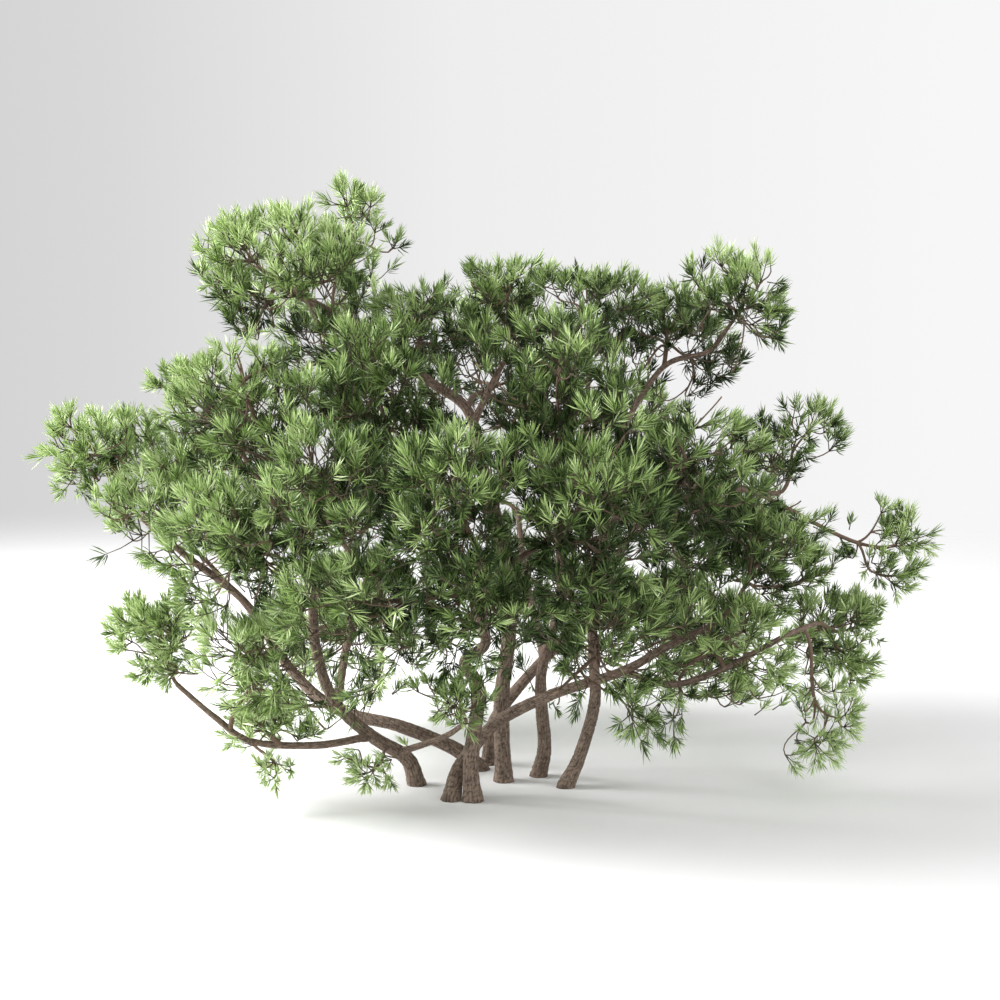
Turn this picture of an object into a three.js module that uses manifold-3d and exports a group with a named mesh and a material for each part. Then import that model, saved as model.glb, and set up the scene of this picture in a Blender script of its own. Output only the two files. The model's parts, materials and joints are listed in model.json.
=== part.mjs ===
// A shrubby pine with many stems, as one rooted plant.
// Eight stems leave the ground close together and lean apart, boughs fork from them, and every
// tuft of foliage grows from one limb: its own stem, twigs that branch from it, and a spray of
// needle shoots at the end of each twig. Lengths are millimetres, up is +Z, and the origin is the
// flat cut under the middle stem, at ground level. The side that faces -Y is the front.

import * as THREE from 'three';
import Module from 'manifold-3d';

const wasm = await Module();
wasm.setup();

// Limbs.
const CLEARANCE = 0.3;          // gap between any two pieces of wood
const STEM_SIDES = 8;
const BOUGH_SIDES = 6;
const RINGS_PER_SPAN = 2;       // rings between two points of a limb
const FLARE_GROWTH = 0.3;       // share by which a stem widens at ground level
const FLARE_HEIGHT = 35;        // height over which that widening fades

// The stem of a tuft of foliage, from its limb to the heart of the tuft.
const TUFT_STEM_SIDES = 4;
const TUFT_STEM_SPANS = 4;
const TUFT_STEM_RADIUS = 6;     // what other wood keeps clear of
const LEAST_TUFT_STEM = 60;
const STARTS_APART = 32;
const LIMB_ROOM = 8;            // from a tuft's stem to any limb
const STEM_ROOM = 9;            // from a tuft's stem to another
const OWN_LIMB_ROOM = 2;        // from the second span of a tuft's stem to its own limb
const FIRST_START = 3;          // ring of a limb that may carry the first stem
const TURN_PRICE = 0.5;         // a stem prefers a way that turns little,
const TIP_PRICE = 0.72;         // the free end of a limb,
const ROOT_PRICE = 30;          // and the limb's outer part
const FIRST_LEAFY_SPAN = 2;
const SUNK_START = 5;           // depth to which a stem starts inside the end of its limb
const UPWARD = 0.5;             // how far tufts look up as well as out

// Twigs, and the sprays of shoots at their ends.
const SPRAYS_IN_ALL = 160;
const FEWEST_SPRAYS = 3;
const SHOOT_LENGTH = 142;       // one spike stands for one shoot with its needles
const HUB_RADIUS = 26;          // the hub that the spikes stand on
const HUB_LENGTH = 36;
const HUBS_APART = 48;
const SHOOT_LEANS = { low: 1.25, high: 0.75 };
const FEWEST_SHOOTS = 5;
const BLADE_LENGTH = 118;       // a blade is a shoot that leaves the side of a twig
const BLADE_WIDTH = 20;
const BLADE_LEANS = { stem: 0.95, twig: 1.65 };
const BLADE_SPAN = 1;           // span of the twig that carries the blades
const SHORTER = [1, 0.8, 0.6];  // a shoot with no room is tried shorter
const FULL_SIZE = 155;          // radius of the tufts whose sprays have just these sizes
const LARGEST_SPRAY = 1.1;      // wider tufts have larger sprays, up to this
const TWIG_RADIUS = 2.2;
const THICKEST_TWIG = 0.8;      // of the limb that carries it
const PIPE_POWER = 0.45;        // how fast wood thickens with the sprays that it carries
const TWIG_SIDES = 3;
const TWIG_STEPS = [0, 0.45, 1];
const TWIG_ROOM = 5;
const LEAST_TWIG = 55;
const STRAIGHTENING = 0.6;      // how far a spray looks along its twig, not where it would
const STRAIGHTNESS = 0.6;       // cosine up to which it may look aside from its twig
const BRANCHING_ROOM = 8;       // from a place where a twig branches to the wall of its space
const SHOOT_ROOM = 4;           // between the shoots of one tuft
const SIDE_ROOM = 6;            // from a span with shoots at its sides to the wall
const LEAVE = 0.35;             // share of a curve's length over which it keeps its first,
const ARRIVE = { stem: 0.3, twig: 0.38 };  // or takes its last direction
const ANGLE_SPREAD = 0.25;      // how far shoots differ, in angle, lean and length
const LEAN_SPREAD = { spike: 0.2, blade: 0.15 };
const LENGTH_SPREAD = [0.85, 1.02];
const PLACES = 20;              // places tried for each spray that a tuft should have
const TWIG_TURN_PRICE = 0.55;
const DETOUR_PRICE = 0.45;
const LOWEST_HUB = 40;
const LOWEST_TIP = 25;
const SPREAD = [0.8191725134, 0.6710436067, 0.5497004779];  // steps of an even spread
const TARGET_DEPTH = 0.3;       // from a tuft's surface to the middle of its outer shoots,
const HUB_DEPTH = 0.42;         // and from there to their hub, as shares of a shoot's length
const CELL_GAP = 0.4;           // from a foliage's last leaf to the wall of its own space
const CROWN_HEART = new THREE.Vector3(-20, 0, 430);
const UP = new THREE.Vector3(0, 0, 1);

// Limbs: the limb they fork from, radius at the root and at the tip, points along the middle.
const LIMBS = {
  stem_middle: [null, 21, 7, [[0, 0, 0], [-5, 5, 210], [15, 10, 400], [0, -15, 595],
    [-50, -20, 800], [-90, 20, 945], [-180, 0, 1015], [-265, -60, 1085], [-360, -90, 1160],
    [-470, -90, 1220]]],
  stem_left: [null, 20, 7, [[-220, -35, 0], [-245, -40, 70], [-330, -75, 135],
    [-420, -100, 230], [-465, -90, 360], [-480, -60, 525], [-500, -150, 640],
    [-520, -330, 720]]],
  stem_back_left: [null, 20, 7, [[-60, 115, 0], [-125, 90, 60], [-265, 70, 125],
    [-435, 100, 165], [-560, 130, 270], [-670, 110, 445], [-800, 40, 570], [-900, -40, 680]]],
  stem_front: [null, 21, 7, [[-75, -185, 0], [-80, -180, 100], [-62, -150, 265],
    [-95, -140, 335], [-45, -150, 385], [-60, -200, 470], [-40, -360, 570], [-30, -520, 640]]],
  stem_front_right: [null, 20, 6.5, [[-130, -178, 0], [-105, -130, 75], [-20, -110, 175],
    [115, -190, 265], [285, -245, 335], [395, -275, 405], [500, -300, 460]]],
  stem_back: [null, 18, 7.5, [[-40, 170, 0], [-20, 140, 130], [80, 120, 265], [155, 110, 350],
    [290, 180, 545], [420, 260, 720]]],
  stem_right_inner: [null, 19, 7.5, [[90, 50, 0], [105, 40, 80], [95, 15, 220],
    [100, -20, 310], [140, -60, 475], [140, -100, 660], [190, -80, 840]]],
  stem_right: [null, 18, 6.5, [[155, -60, 0], [195, -45, 85], [230, -20, 210], [228, 5, 320],
    [225, 20, 475], [260, 10, 635], [380, 20, 750], [530, 30, 750], [700, 60, 730]]],
  bough_low_left: ['stem_left', 10, 6, [[-330, -75, 135], [-460, -170, 135],
    [-610, -230, 160], [-700, -240, 225], [-790, -225, 300]]],
  bough_low_front: ['stem_left', 9, 6, [[-262, -48, 90], [-150, -150, 150],
    [-90, -265, 215]]],
  bough_top_right: ['stem_right', 8.5, 6, [[254, 12, 600], [270, 60, 770], [310, 100, 900],
    [405, 90, 1050], [510, 40, 1090], [550, -20, 1145]]],
  bough_top_middle: ['stem_middle', 9, 6.5, [[-80, 5, 910], [-30, 20, 1010],
    [10, 30, 1080]]],
  bough_back_left: ['stem_back_left', 12, 7, [[-435, 100, 165], [-400, 250, 380],
    [-330, 420, 560]]],
  bough_back: ['stem_back', 10.5, 7, [[110, 115, 290], [60, 300, 480], [40, 480, 640]]],
  bough_front_right: ['stem_right_inner', 7.5, 6, [[142, -90, 620], [180, -260, 720],
    [220, -420, 780]]],
  bough_low_right: ['stem_front_right', 8.5, 6, [[285, -245, 335], [400, -300, 315],
    [520, -310, 355], [680, -230, 420], [760, -180, 440]]],
};

// Tufts of foliage: the middle of each, its radius in plan, its height as a share of its width.
const FOLIAGE = {
  top_left_tip: [-375, 40, 1420, 110, 0.95],
  top_left_outer: [-605, -60, 1310, 155, 0.9],
  top_left_inner: [-470, -150, 1290, 170, 0.95],
  top_left_back: [-420, 260, 1140, 220, 0.9],
  left_shoulder: [-740, -60, 985, 120, 0.85],
  left_tip: [-1015, -120, 875, 125, 0.9],
  left_upper: [-875, 60, 830, 150, 0.85],
  left_lower: [-815, -180, 705, 165, 0.85],
  left_front: [-590, -330, 980, 195, 0.85],
  left_back: [-650, 430, 760, 260, 0.9],
  left_low_front: [-600, -460, 670, 200, 0.95],
  top_middle_left: [-200, -60, 1160, 170, 0.85],
  top_middle: [10, 60, 1190, 185, 0.85],
  top_middle_right: [220, -40, 1180, 180, 0.85],
  top_front_left: [-300, -380, 1000, 205, 0.9],
  top_front_right: [120, -430, 1000, 215, 0.9],
  top_back: [-10, 450, 1020, 290, 0.85],
  top_right_inner: [420, 120, 1155, 160, 0.9],
  top_right: [595, -60, 1225, 150, 0.95],
  front_left: [-350, -600, 790, 195, 0.9],
  front_middle: [-100, -740, 800, 195, 0.9],
  front_right: [150, -700, 770, 200, 0.95],
  right_front: [380, -430, 820, 210, 0.9],
  right_shoulder: [740, 60, 865, 130, 0.9],
  right_outer: [640, -240, 640, 190, 0.95],
  far_right: [965, -60, 610, 115, 1.15],
  back_left: [-360, 700, 670, 315, 0.85],
  back_right: [340, 680, 730, 315, 0.85],
  back_far_right: [600, 480, 580, 255, 0.85],
  low_left: [-560, -380, 400, 180, 0.9],
  low_left_outer: [-835, -220, 425, 120, 1],
  low_left_under: [-580, -250, 190, 105, 0.9],
  low_front_left: [-330, -600, 575, 190, 0.85],
  low_front: [-60, -620, 600, 185, 0.85],
  low_front_right: [220, -520, 480, 195, 0.85],
  low_right: [485, -300, 425, 215, 0.85],
  low_right_outer: [840, -40, 395, 135, 1],
  hanging_right: [800, -120, 200, 110, 1.25],
  low_back_right: [520, 430, 340, 245, 0.8],
  low_back: [80, 640, 370, 260, 0.8],
  low_back_left: [-400, 480, 300, 260, 0.8],
  low_front_sprays: [-115, -330, 270, 90, 0.9],
  low_left_tip: [-545, -300, 115, 75, 0.8],
  low_middle_tip: [-310, -280, 105, 75, 0.8],
};

const plus = (a, b, share = 1) => a.clone().addScaledVector(b, share);
const minus = (a, b) => a.clone().sub(b);
const unit = (a) => a.clone().normalize();

/** Numbers that look random and always follow from the same seed. */
class Draw {
  constructor(seed) {
    this.state = seed;
    this.next();
    this.next();
    this.next();
  }

  next(low = 0, high = 1) {
    this.state = (this.state * 16807) % 2147483647;
    return low + (high - low) * this.state / 2147483647;
  }
}

/** Smooth curve through all points, t from 0 at the first to 1 at the last. */
function alongPoints(points, t) {
  const last = points.length - 1;
  const at = Math.min(Math.max(t, 0) * last, last - 1e-9);
  const i = Math.floor(at);
  const s = at - i;
  const b = points[i];
  const c = points[i + 1];
  const a = i > 0 ? points[i - 1] : plus(plus(b, b), c, -1);
  const d = i + 2 <= last ? points[i + 2] : plus(plus(c, c), b, -1);
  const sum = b.clone().multiplyScalar(2);
  sum.addScaledVector(minus(c, a), s);
  sum.addScaledVector(a, 2 * s * s);
  sum.addScaledVector(b, -5 * s * s);
  sum.addScaledVector(c, 4 * s * s);
  sum.addScaledVector(d, -s * s);
  sum.addScaledVector(a, -s * s * s);
  sum.addScaledVector(b, 3 * s * s * s);
  sum.addScaledVector(c, -3 * s * s * s);
  sum.addScaledVector(d, s * s * s);
  return sum.multiplyScalar(0.5);
}

/** Point of a curve with two ends a and d, pulled towards b and c. */
function pulled(a, b, c, d, t) {
  const u = 1 - t;
  const sum = a.clone().multiplyScalar(u * u * u);
  sum.addScaledVector(b, 3 * u * u * t);
  sum.addScaledVector(c, 3 * u * t * t);
  return sum.addScaledVector(d, t * t * t);
}

/** Shortest distance between the straight pieces p q and a b. */
function apart(p, q, a, b) {
  const u = minus(q, p);
  const v = minus(b, a);
  const w = minus(p, a);
  const uu = u.dot(u);
  const vv = v.dot(v);
  const vw = v.dot(w);
  const uw = u.dot(w);
  const uv = u.dot(v);
  const spread = uu * vv - uv * uv;
  let s = spread > 1e-6 ? THREE.MathUtils.clamp((uv * vw - uw * vv) / spread, 0, 1) : 0;
  let t = (uv * s + vw) / vv;
  if (t < 0) {
    s = THREE.MathUtils.clamp(-uw / uu, 0, 1);
    t = 0;
  } else if (t > 1) {
    s = THREE.MathUtils.clamp((uv - uw) / uu, 0, 1);
    t = 1;
  }
  return plus(plus(w, u, s), v, -t).length();
}

/** True when p q keeps the margin to every piece of wood that has another owner. */
function isClear(wood, p, q, margin, owner = null) {
  return wood.every((piece) => piece.owner === owner
    || apart(p, q, piece.a, piece.b) - piece.radius > margin);
}

// Closed bodies.

/** Solid from corners and triangles. */
function solid(corners, triangles) {
  const vertProperties = new Float32Array(corners.length * 3);
  corners.forEach((corner, i) => corner.toArray(vertProperties, i * 3));
  const triVerts = new Uint32Array(triangles.flat());
  return new wasm.Manifold(new wasm.Mesh({ numProp: 3, vertProperties, triVerts }));
}

/** Two directions across a tangent, the first as near as can be to the one given. */
function frameAt(point, tangent, near) {
  const across = unit(plus(near, tangent, -near.dot(tangent)));
  return { point, across, other: new THREE.Vector3().crossVectors(tangent, across) };
}

/** Frames across each point of a path, without twist from point to point. */
function framesAlong(points, firstTangent = null, lastTangent = null) {
  let across = new THREE.Vector3(1, 0, 0);
  const last = points.length - 1;
  return points.map((point, i) => {
    let tangent = unit(minus(points[Math.min(i + 1, last)], points[Math.max(i - 1, 0)]));
    if (i === 0 && firstTangent) tangent = firstTangent;
    if (i === last && lastTangent) tangent = lastTangent;
    if (i === 0 && Math.abs(tangent.x) > 0.8) across = new THREE.Vector3(0, 1, 0);
    const frame = frameAt(point, tangent, across);
    across = frame.across;
    return frame;
  });
}

/** Corners in a circle round a point, the first one turned by the given angle. */
function ringOf({ point, across, other }, radius, sides, turn = 0) {
  return Array.from({ length: sides }, (_, k) => {
    const angle = turn + 2 * Math.PI * k / sides;
    const corner = plus(point, across, radius * Math.cos(angle));
    return corner.addScaledVector(other, radius * Math.sin(angle));
  });
}

/** One ring of corners across each point of a path. */
function ringsAlong(points, radii, sides, firstTangent = null) {
  return framesAlong(points, firstTangent).map((frame, i) => ringOf(frame, radii[i], sides));
}

/** Triangles that close a face, or a spike on it when the number of a tip is given. */
function faceTriangles(face, tip = null) {
  if (tip === null) return face.slice(2).map((corner, i) => [face[0], face[i + 1], corner]);
  return face.map((corner, i) => [corner, face[(i + 1) % face.length], tip]);
}

/** Faces of the walls between rings of equal count. */
function wallFaces(ringCount, sides) {
  const faces = [];
  for (let i = 0; i < ringCount - 1; i += 1) {
    for (let k = 0; k < sides; k += 1) {
      const a = i * sides + k;
      const b = i * sides + (k + 1) % sides;
      faces.push([a, b, b + sides, a + sides]);
    }
  }
  return faces;
}

/** Closed tube through rings, flat at both ends, with blades on those walls that have a tip. */
function tube(rings, blades = []) {
  const sides = rings[0].length;
  const around = Array.from({ length: sides }, (_, k) => k);
  const corners = rings.flat();
  const last = corners.length - sides;
  const faces = wallFaces(rings.length, sides);
  const triangles = faces.flatMap((face, i) => {
    if (!blades[i]) return faceTriangles(face);
    corners.push(blades[i]);
    return faceTriangles(face, corners.length - 1);
  });
  triangles.push(...faceTriangles([...around].reverse()));
  triangles.push(...faceTriangles(around.map((k) => last + k)));
  return solid(corners, triangles);
}

/** Point of a limb's line that lies nearest to the given one. */
function nearestOn(line, point) {
  const found = line.points.slice(1).map((end, i) =>
    new THREE.Line3(line.points[i], end).closestPointToPoint(point, true, new THREE.Vector3()));
  return found.reduce((best, other) =>
    (other.distanceTo(point) < best.distanceTo(point) ? other : best));
}

/** A limb as points and radii; a bough starts on the line of the limb that it forks from. */
function limbLine([parent, rootRadius, tipRadius, corners], limbs) {
  const points = corners.map((corner) => new THREE.Vector3(...corner));
  if (parent) points[0] = nearestOn(limbs[parent], points[0]);
  const count = RINGS_PER_SPAN * (points.length - 1);
  const line = { parent, points: [], radii: [], count };
  for (let i = 0; i <= count; i += 1) {
    const point = alongPoints(points, i / count);
    const flare = parent ? 0 : FLARE_GROWTH * Math.exp(-point.z / FLARE_HEIGHT);
    const radius = THREE.MathUtils.lerp(rootRadius, tipRadius, i / count);
    line.points.push(point);
    line.radii.push(radius * (1 + flare));
  }
  return line;
}

/** Body of a limb, larger on all sides by the given growth. */
function limbBody(line, growth) {
  const sides = line.parent ? BOUGH_SIDES : STEM_SIDES;
  const wider = growth / Math.cos(Math.PI / sides);
  const points = line.points.map((point) => point.clone());
  const last = points.length - 1;
  points[last].addScaledVector(unit(minus(points[last], points[last - 1])), growth);
  const radii = line.radii.map((radius) => radius + wider);
  return tube(ringsAlong(points, radii, sides, line.parent ? null : UP));
}

/** A twig with blades at its sides and, at its end, a hub of eight faces: seven may carry a
    spike, one is the twig. */
function sprayBody(path, radii, { direction, crest, tips, blades }) {
  const frames = framesAlong(path, null, direction);
  const last = frames.length - 1;
  const ahead = { ...frames[last], point: crest };
  const rings = frames.map((frame, i) => ringOf(frame, radii[i], TWIG_SIDES));
  rings.push(ringOf(ahead, radii[last], TWIG_SIDES, Math.PI / 3));
  const corners = rings.flat();
  const top = corners.length - TWIG_SIDES;
  const low = top - TWIG_SIDES;
  const triangles = [[0, 2, 1]];
  const close = (face, tip) => {
    if (tip) corners.push(tip);
    triangles.push(...faceTriangles(face, tip ? corners.length - 1 : null));
  };
  wallFaces(frames.length, TWIG_SIDES).forEach((face, i) => {
    const isBladed = Math.floor(i / TWIG_SIDES) === BLADE_SPAN;
    close(face, isBladed ? blades[i % TWIG_SIDES] : null);
  });
  close([top, top + 1, top + 2], tips[0]);
  for (let k = 0; k < TWIG_SIDES; k += 1) {
    const next = (k + 1) % TWIG_SIDES;
    close([low + k, low + next, top + k], tips[1 + 2 * k]);
    close([low + next, top + next, top + k], tips[2 + 2 * k]);
  }
  return solid(corners, triangles);
}

// Growth.

/** Space of one tuft: walls halfway, by size, to every other tuft. */
function cellWalls(tufts, own) {
  return tufts.filter((tuft) => tuft !== own).map((tuft) => {
    const way = minus(tuft.heart, own.heart);
    const length = way.length();
    const normal = way.divideScalar(length);
    const share = own.radii.x / (own.radii.x + tuft.radii.x);
    return { normal, reach: normal.dot(own.heart) + length * share - CELL_GAP };
  });
}

/** Rings of all limbs that a stem may start from. */
function stemStarts(limbs) {
  return Object.entries(limbs).flatMap(([owner, line]) => {
    const found = [];
    for (let i = FIRST_START; i <= line.count; i += 1) {
      const direction = unit(minus(line.points[i], line.points[i - 1]));
      found.push({ owner, direction, point: line.points[i], radius: line.radii[i],
        isTip: i === line.count, share: i / line.count });
    }
    return found;
  });
}

/** Direction in which a tuft looks: away from the middle of the crown, and up. */
function outwardFrom(heart) {
  return unit(plus(unit(minus(heart, CROWN_HEART)), UP, UPWARD));
}

/** Points of a tuft's stem, from its start to the heart of the tuft. */
function stemPath(start, heart) {
  const straight = unit(minus(heart, start.point));
  const length = start.point.distanceTo(heart);
  const leave = unit(plus(straight, start.direction, start.isTip ? 1 : 0.4));
  const arrive = unit(plus(outwardFrom(heart), straight));
  const first = plus(start.point, leave, LEAVE * length);
  const second = plus(heart, arrive, -ARRIVE.stem * length);
  return Array.from({ length: TUFT_STEM_SPANS + 1 }, (_, i) =>
    pulled(start.point, first, second, heart, i / TUFT_STEM_SPANS));
}

/** Gives each tuft its start on a limb and its stem, those nearest to a limb first. */
function growStems(tufts, limbs, limbWood) {
  const starts = stemStarts(limbs);
  const nearest = (tuft) => Math.min(...starts.map((start) =>
    start.point.distanceTo(tuft.heart)));
  const stemWood = [];
  const taken = [];
  const isOpen = (points, owner) => points.slice(1).every((point, i) =>
    isClear(limbWood, points[i], point, LIMB_ROOM, i < 2 ? owner : null)
    && (i === 0 || isClear(limbWood, points[i], point, OWN_LIMB_ROOM))
    && isClear(stemWood, points[i], point, STEM_ROOM));
  [...tufts].sort((a, b) => nearest(a) - nearest(b)).forEach((tuft) => {
    const ranked = starts.filter(({ point }) =>
      point.distanceTo(tuft.heart) > LEAST_TUFT_STEM
      && taken.every((other) => other.point.distanceTo(point) >= STARTS_APART));
    const price = ({ point, direction, isTip, share }) => {
      const way = minus(tuft.heart, point);
      const length = way.length();
      const turn = 1 - direction.dot(way) / length;
      return length * (1 + TURN_PRICE * turn) * (isTip ? TIP_PRICE : 1)
        + ROOT_PRICE * (1 - share);
    };
    ranked.sort((a, b) => price(a) - price(b));
    const start = ranked.find((one) => isOpen(stemPath(one, tuft.heart), one.owner));
    tuft.start = start;
    tuft.points = stemPath(start, tuft.heart);
    taken.push(start);
    tuft.points.slice(1).forEach((b, i) => {
      stemWood.push({ a: tuft.points[i], b, radius: TUFT_STEM_RADIUS, owner: tuft.name });
    });
  });
  return stemWood;
}

/** Nodes along the stem of a tuft: twigs branch from them and from those of other twigs. */
function stemNodes({ points }) {
  let length = 0;
  return points.map((point, i) => {
    const ahead = points[Math.min(i + 1, TUFT_STEM_SPANS)];
    const behind = points[Math.max(i - 1, 0)];
    if (i > 0) length += point.distanceTo(behind);
    return { point, parent: i - 1, tangent: unit(minus(ahead, behind)), length, sprays: 0 };
  });
}

/** Twigs and sprays of one tuft. */
function growTwigs(tuft, index, walls, limbWood, stemWood) {
  const draw = new Draw(101 + 37 * index);
  const offsets = [draw.next(), draw.next(), draw.next()];
  const { size } = tuft;
  const hubRadius = HUB_RADIUS * size;
  const shootLength = SHOOT_LENGTH * size;
  const nodes = stemNodes(tuft);
  const sprays = [];
  const ownWood = [];
  const isInside = (point, margin) => walls.every((wall) =>
    wall.normal.dot(point) + margin <= wall.reach);
  const isApart = (from, to, margin) => isClear(limbWood, from, to, margin, tuft.name)
    && isClear(stemWood, from, to, margin, tuft.name);

  /** Tip of a shoot that leaves a point, or null where it has no room. */
  const shoot = (from, ahead, frame, lean, angle, reach, width) => {
    const aim = ahead.clone().multiplyScalar(Math.cos(lean));
    aim.addScaledVector(frame.across, Math.cos(angle) * Math.sin(lean));
    aim.addScaledVector(frame.other, Math.sin(angle) * Math.sin(lean));
    const share = SHORTER.find((cut) => {
      const tip = plus(from, aim, reach * cut);
      const halfway = plus(from, aim, reach * cut / 2);
      return tip.z > LOWEST_TIP && isInside(tip, 0)
        && isApart(from, halfway, width) && isApart(halfway, tip, 0.6 * width)
        && isClear(ownWood, from, halfway, SHOOT_ROOM)
        && isClear(ownWood, halfway, tip, SHOOT_ROOM);
    });
    return share ? plus(from, aim, reach * share) : null;
  };

  /** Tips of the shoots that leave the sides of a span, one for each side. */
  const shootsRound = (from, to, ahead, across, sides, opening) => {
    const middle = plus(from, to).multiplyScalar(0.5);
    const frame = frameAt(middle, ahead, across);
    const isOpen = isInside(from, SIDE_ROOM) && isInside(to, SIDE_ROOM);
    return Array.from({ length: sides }, (_, k) => {
      const angle = (2 * k + 1) * Math.PI / sides + draw.next(-ANGLE_SPREAD, ANGLE_SPREAD);
      const lean = opening + draw.next(-LEAN_SPREAD.blade, LEAN_SPREAD.blade);
      const reach = BLADE_LENGTH * size * draw.next(...LENGTH_SPREAD);
      return isOpen ? shoot(middle, ahead, frame, lean, angle, reach, BLADE_WIDTH) : null;
    });
  };

  /** Keeps later wood of the tuft out of the shoots that leave a point. */
  const claim = (from, tips) => tips.filter(Boolean).forEach((tip) => {
    const halfway = plus(from, tip).multiplyScalar(0.5);
    ownWood.push({ a: from, b: halfway, radius: 7 }, { a: halfway, b: tip, radius: 3 });
  });

  /** Place and aim of the hub that comes k-th in an even spread over the tuft. */
  const placeHub = (k) => {
    const [u, v, w] = offsets.map((offset, i) => (offset + k * SPREAD[i]) % 1);
    const rise = 1 - 2 * v;
    const flat = Math.sqrt(1 - rise * rise);
    const around = new THREE.Vector3(flat * Math.cos(2 * Math.PI * w),
      flat * Math.sin(2 * Math.PI * w), rise).multiplyScalar((0.08 + 0.92 * u) ** 0.4);
    const target = k === 1 ? outwardFrom(tuft.heart) : around;
    target.multiply(tuft.radii.clone().subScalar(TARGET_DEPTH * shootLength)).add(tuft.heart);
    const jitter = new THREE.Vector3(draw.next(-1, 1), draw.next(-1, 1), draw.next(-1, 1));
    const aim = unit(minus(target, CROWN_HEART)).multiplyScalar(0.6);
    aim.addScaledVector(unit(minus(target, tuft.heart)), 0.45);
    aim.addScaledVector(UP, 0.5);
    aim.addScaledVector(jitter, 0.3).normalize();
    return { hub: plus(target, aim, -HUB_DEPTH * shootLength), aim };
  };

  /** Number of the node from which a twig reaches the hub best, or -1. */
  const bestNode = (hub) => {
    const prices = nodes.map(({ point, tangent, length }, i) => {
      const way = minus(hub, point);
      const distance = way.length();
      const isFit = i >= FIRST_LEAFY_SPAN && distance >= LEAST_TWIG * size
        && isInside(point, BRANCHING_ROOM);
      const turn = 1 - tangent.dot(way) / distance;
      return isFit ? distance * (1 + TWIG_TURN_PRICE * turn) + DETOUR_PRICE * length : Infinity;
    });
    const least = Math.min(...prices);
    return least < Infinity ? prices.indexOf(least) : -1;
  };

  for (let k = 1; k <= PLACES * tuft.wanted && sprays.length < tuft.wanted; k += 1) {
    const { hub, aim } = placeHub(k);
    if (hub.z < LOWEST_HUB || !isInside(hub, hubRadius)) continue;
    if (sprays.some((spray) => spray.hub.distanceTo(hub) < HUBS_APART * size)) continue;
    const root = bestNode(hub);
    if (root < 0) continue;
    const from = nodes[root].point;
    const length = from.distanceTo(hub);
    const way = unit(minus(hub, from));
    const direction = unit(plus(aim, way, STRAIGHTENING));
    const crest = plus(hub, direction, HUB_LENGTH * size);
    const leave = unit(plus(nodes[root].tangent, way));
    const first = plus(from, leave, LEAVE * length);
    const second = plus(hub, direction, -ARRIVE.twig * length);
    const path = TWIG_STEPS.map((t) => pulled(from, first, second, hub, t));
    const bend = path[1];
    const waist = plus(bend, hub).multiplyScalar(0.5);
    const isOpen = unit(minus(hub, bend)).dot(direction) > STRAIGHTNESS
      && isInside(crest, hubRadius) && isInside(bend, TWIG_ROOM) && isApart(from, bend, TWIG_ROOM)
      && isApart(bend, waist, 0.7 * hubRadius) && isApart(waist, hub, 1.1 * hubRadius)
      && isApart(hub, crest, 1.2 * hubRadius)
      && isClear(ownWood, hub, crest, 0.8 * hubRadius) && isClear(ownWood, bend, hub, 3);
    if (!isOpen) continue;
    const frames = framesAlong(path, null, direction);
    const tips = Array.from({ length: 7 }, (_, i) => {
      const opening = i % 2 ? SHOOT_LEANS.low : SHOOT_LEANS.high;
      const spread = LEAN_SPREAD.spike;
      const lean = i === 0 ? 0 : opening + draw.next(-spread, spread);
      const angle = i * Math.PI / 3 + draw.next(-ANGLE_SPREAD, ANGLE_SPREAD);
      const reach = shootLength * draw.next(...LENGTH_SPREAD);
      return shoot(hub, direction, frames[2], lean, angle, reach, hubRadius);
    });
    if (tips.filter(Boolean).length < FEWEST_SHOOTS) continue;
    claim(hub, tips);
    const { across } = frames[2];
    const blades = shootsRound(bend, hub, direction, across, TWIG_SIDES, BLADE_LEANS.twig);
    claim(waist, blades);
    sprays.push({ hub, direction, crest, hubRadius, tips, blades, root, first: nodes.length });
    path.slice(1).forEach((point, i) => {
      ownWood.push({ a: path[i], b: point, radius: 3 });
      const parent = i === 0 ? root : nodes.length - 1;
      const tangent = unit(minus(path[Math.min(i + 2, 2)], path[i]));
      const reached = nodes[parent].length + point.distanceTo(path[i]);
      nodes.push({ point, parent, tangent, length: reached, sprays: 0 });
    });
    for (let i = nodes.length - 1; i >= 0; i = nodes[i].parent) nodes[i].sprays += 1;
  }
  const stemFrames = framesAlong(tuft.points);
  const stemBlades = tuft.points.slice(1).flatMap((to, i) => {
    if (i < FIRST_LEAFY_SPAN) return Array(TUFT_STEM_SIDES).fill(null);
    const from = tuft.points[i];
    const { across } = stemFrames[i];
    const ahead = unit(minus(to, from));
    const tips = shootsRound(from, to, ahead, across, TUFT_STEM_SIDES, BLADE_LEANS.stem);
    claim(plus(from, to).multiplyScalar(0.5), tips);
    return tips;
  });
  return { nodes, sprays, stemBlades };
}

/** Radius of a twig that carries the given number of sprays. */
function twigRadius(sprays) {
  return TWIG_RADIUS * Math.max(sprays, 1) ** PIPE_POWER;
}

/** One tuft as a single solid: its stem, its twigs and its sprays. */
function foliageBody({ start, points }, { nodes, sprays, stemBlades }, limb) {
  const thickest = THICKEST_TWIG * start.radius;
  const radii = nodes.map((node) => Math.min(twigRadius(node.sprays), thickest));
  const stem = points.map((point) => point.clone());
  if (start.isTip) stem[0].addScaledVector(start.direction, -SUNK_START);
  const rings = ringsAlong(stem, radii.slice(0, stem.length), TUFT_STEM_SIDES);
  let body = tube(rings, stemBlades);
  sprays.forEach((spray) => {
    const { root, first, hubRadius } = spray;
    const path = [nodes[root], nodes[first], nodes[first + 1]].map((node) => node.point);
    const along = [0.45 * radii[root], radii[first], hubRadius];
    body = body.add(sprayBody(path, along, spray));
  });
  return body.subtract(limbBody(limb, CLEARANCE));
}

// Assembly.

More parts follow.
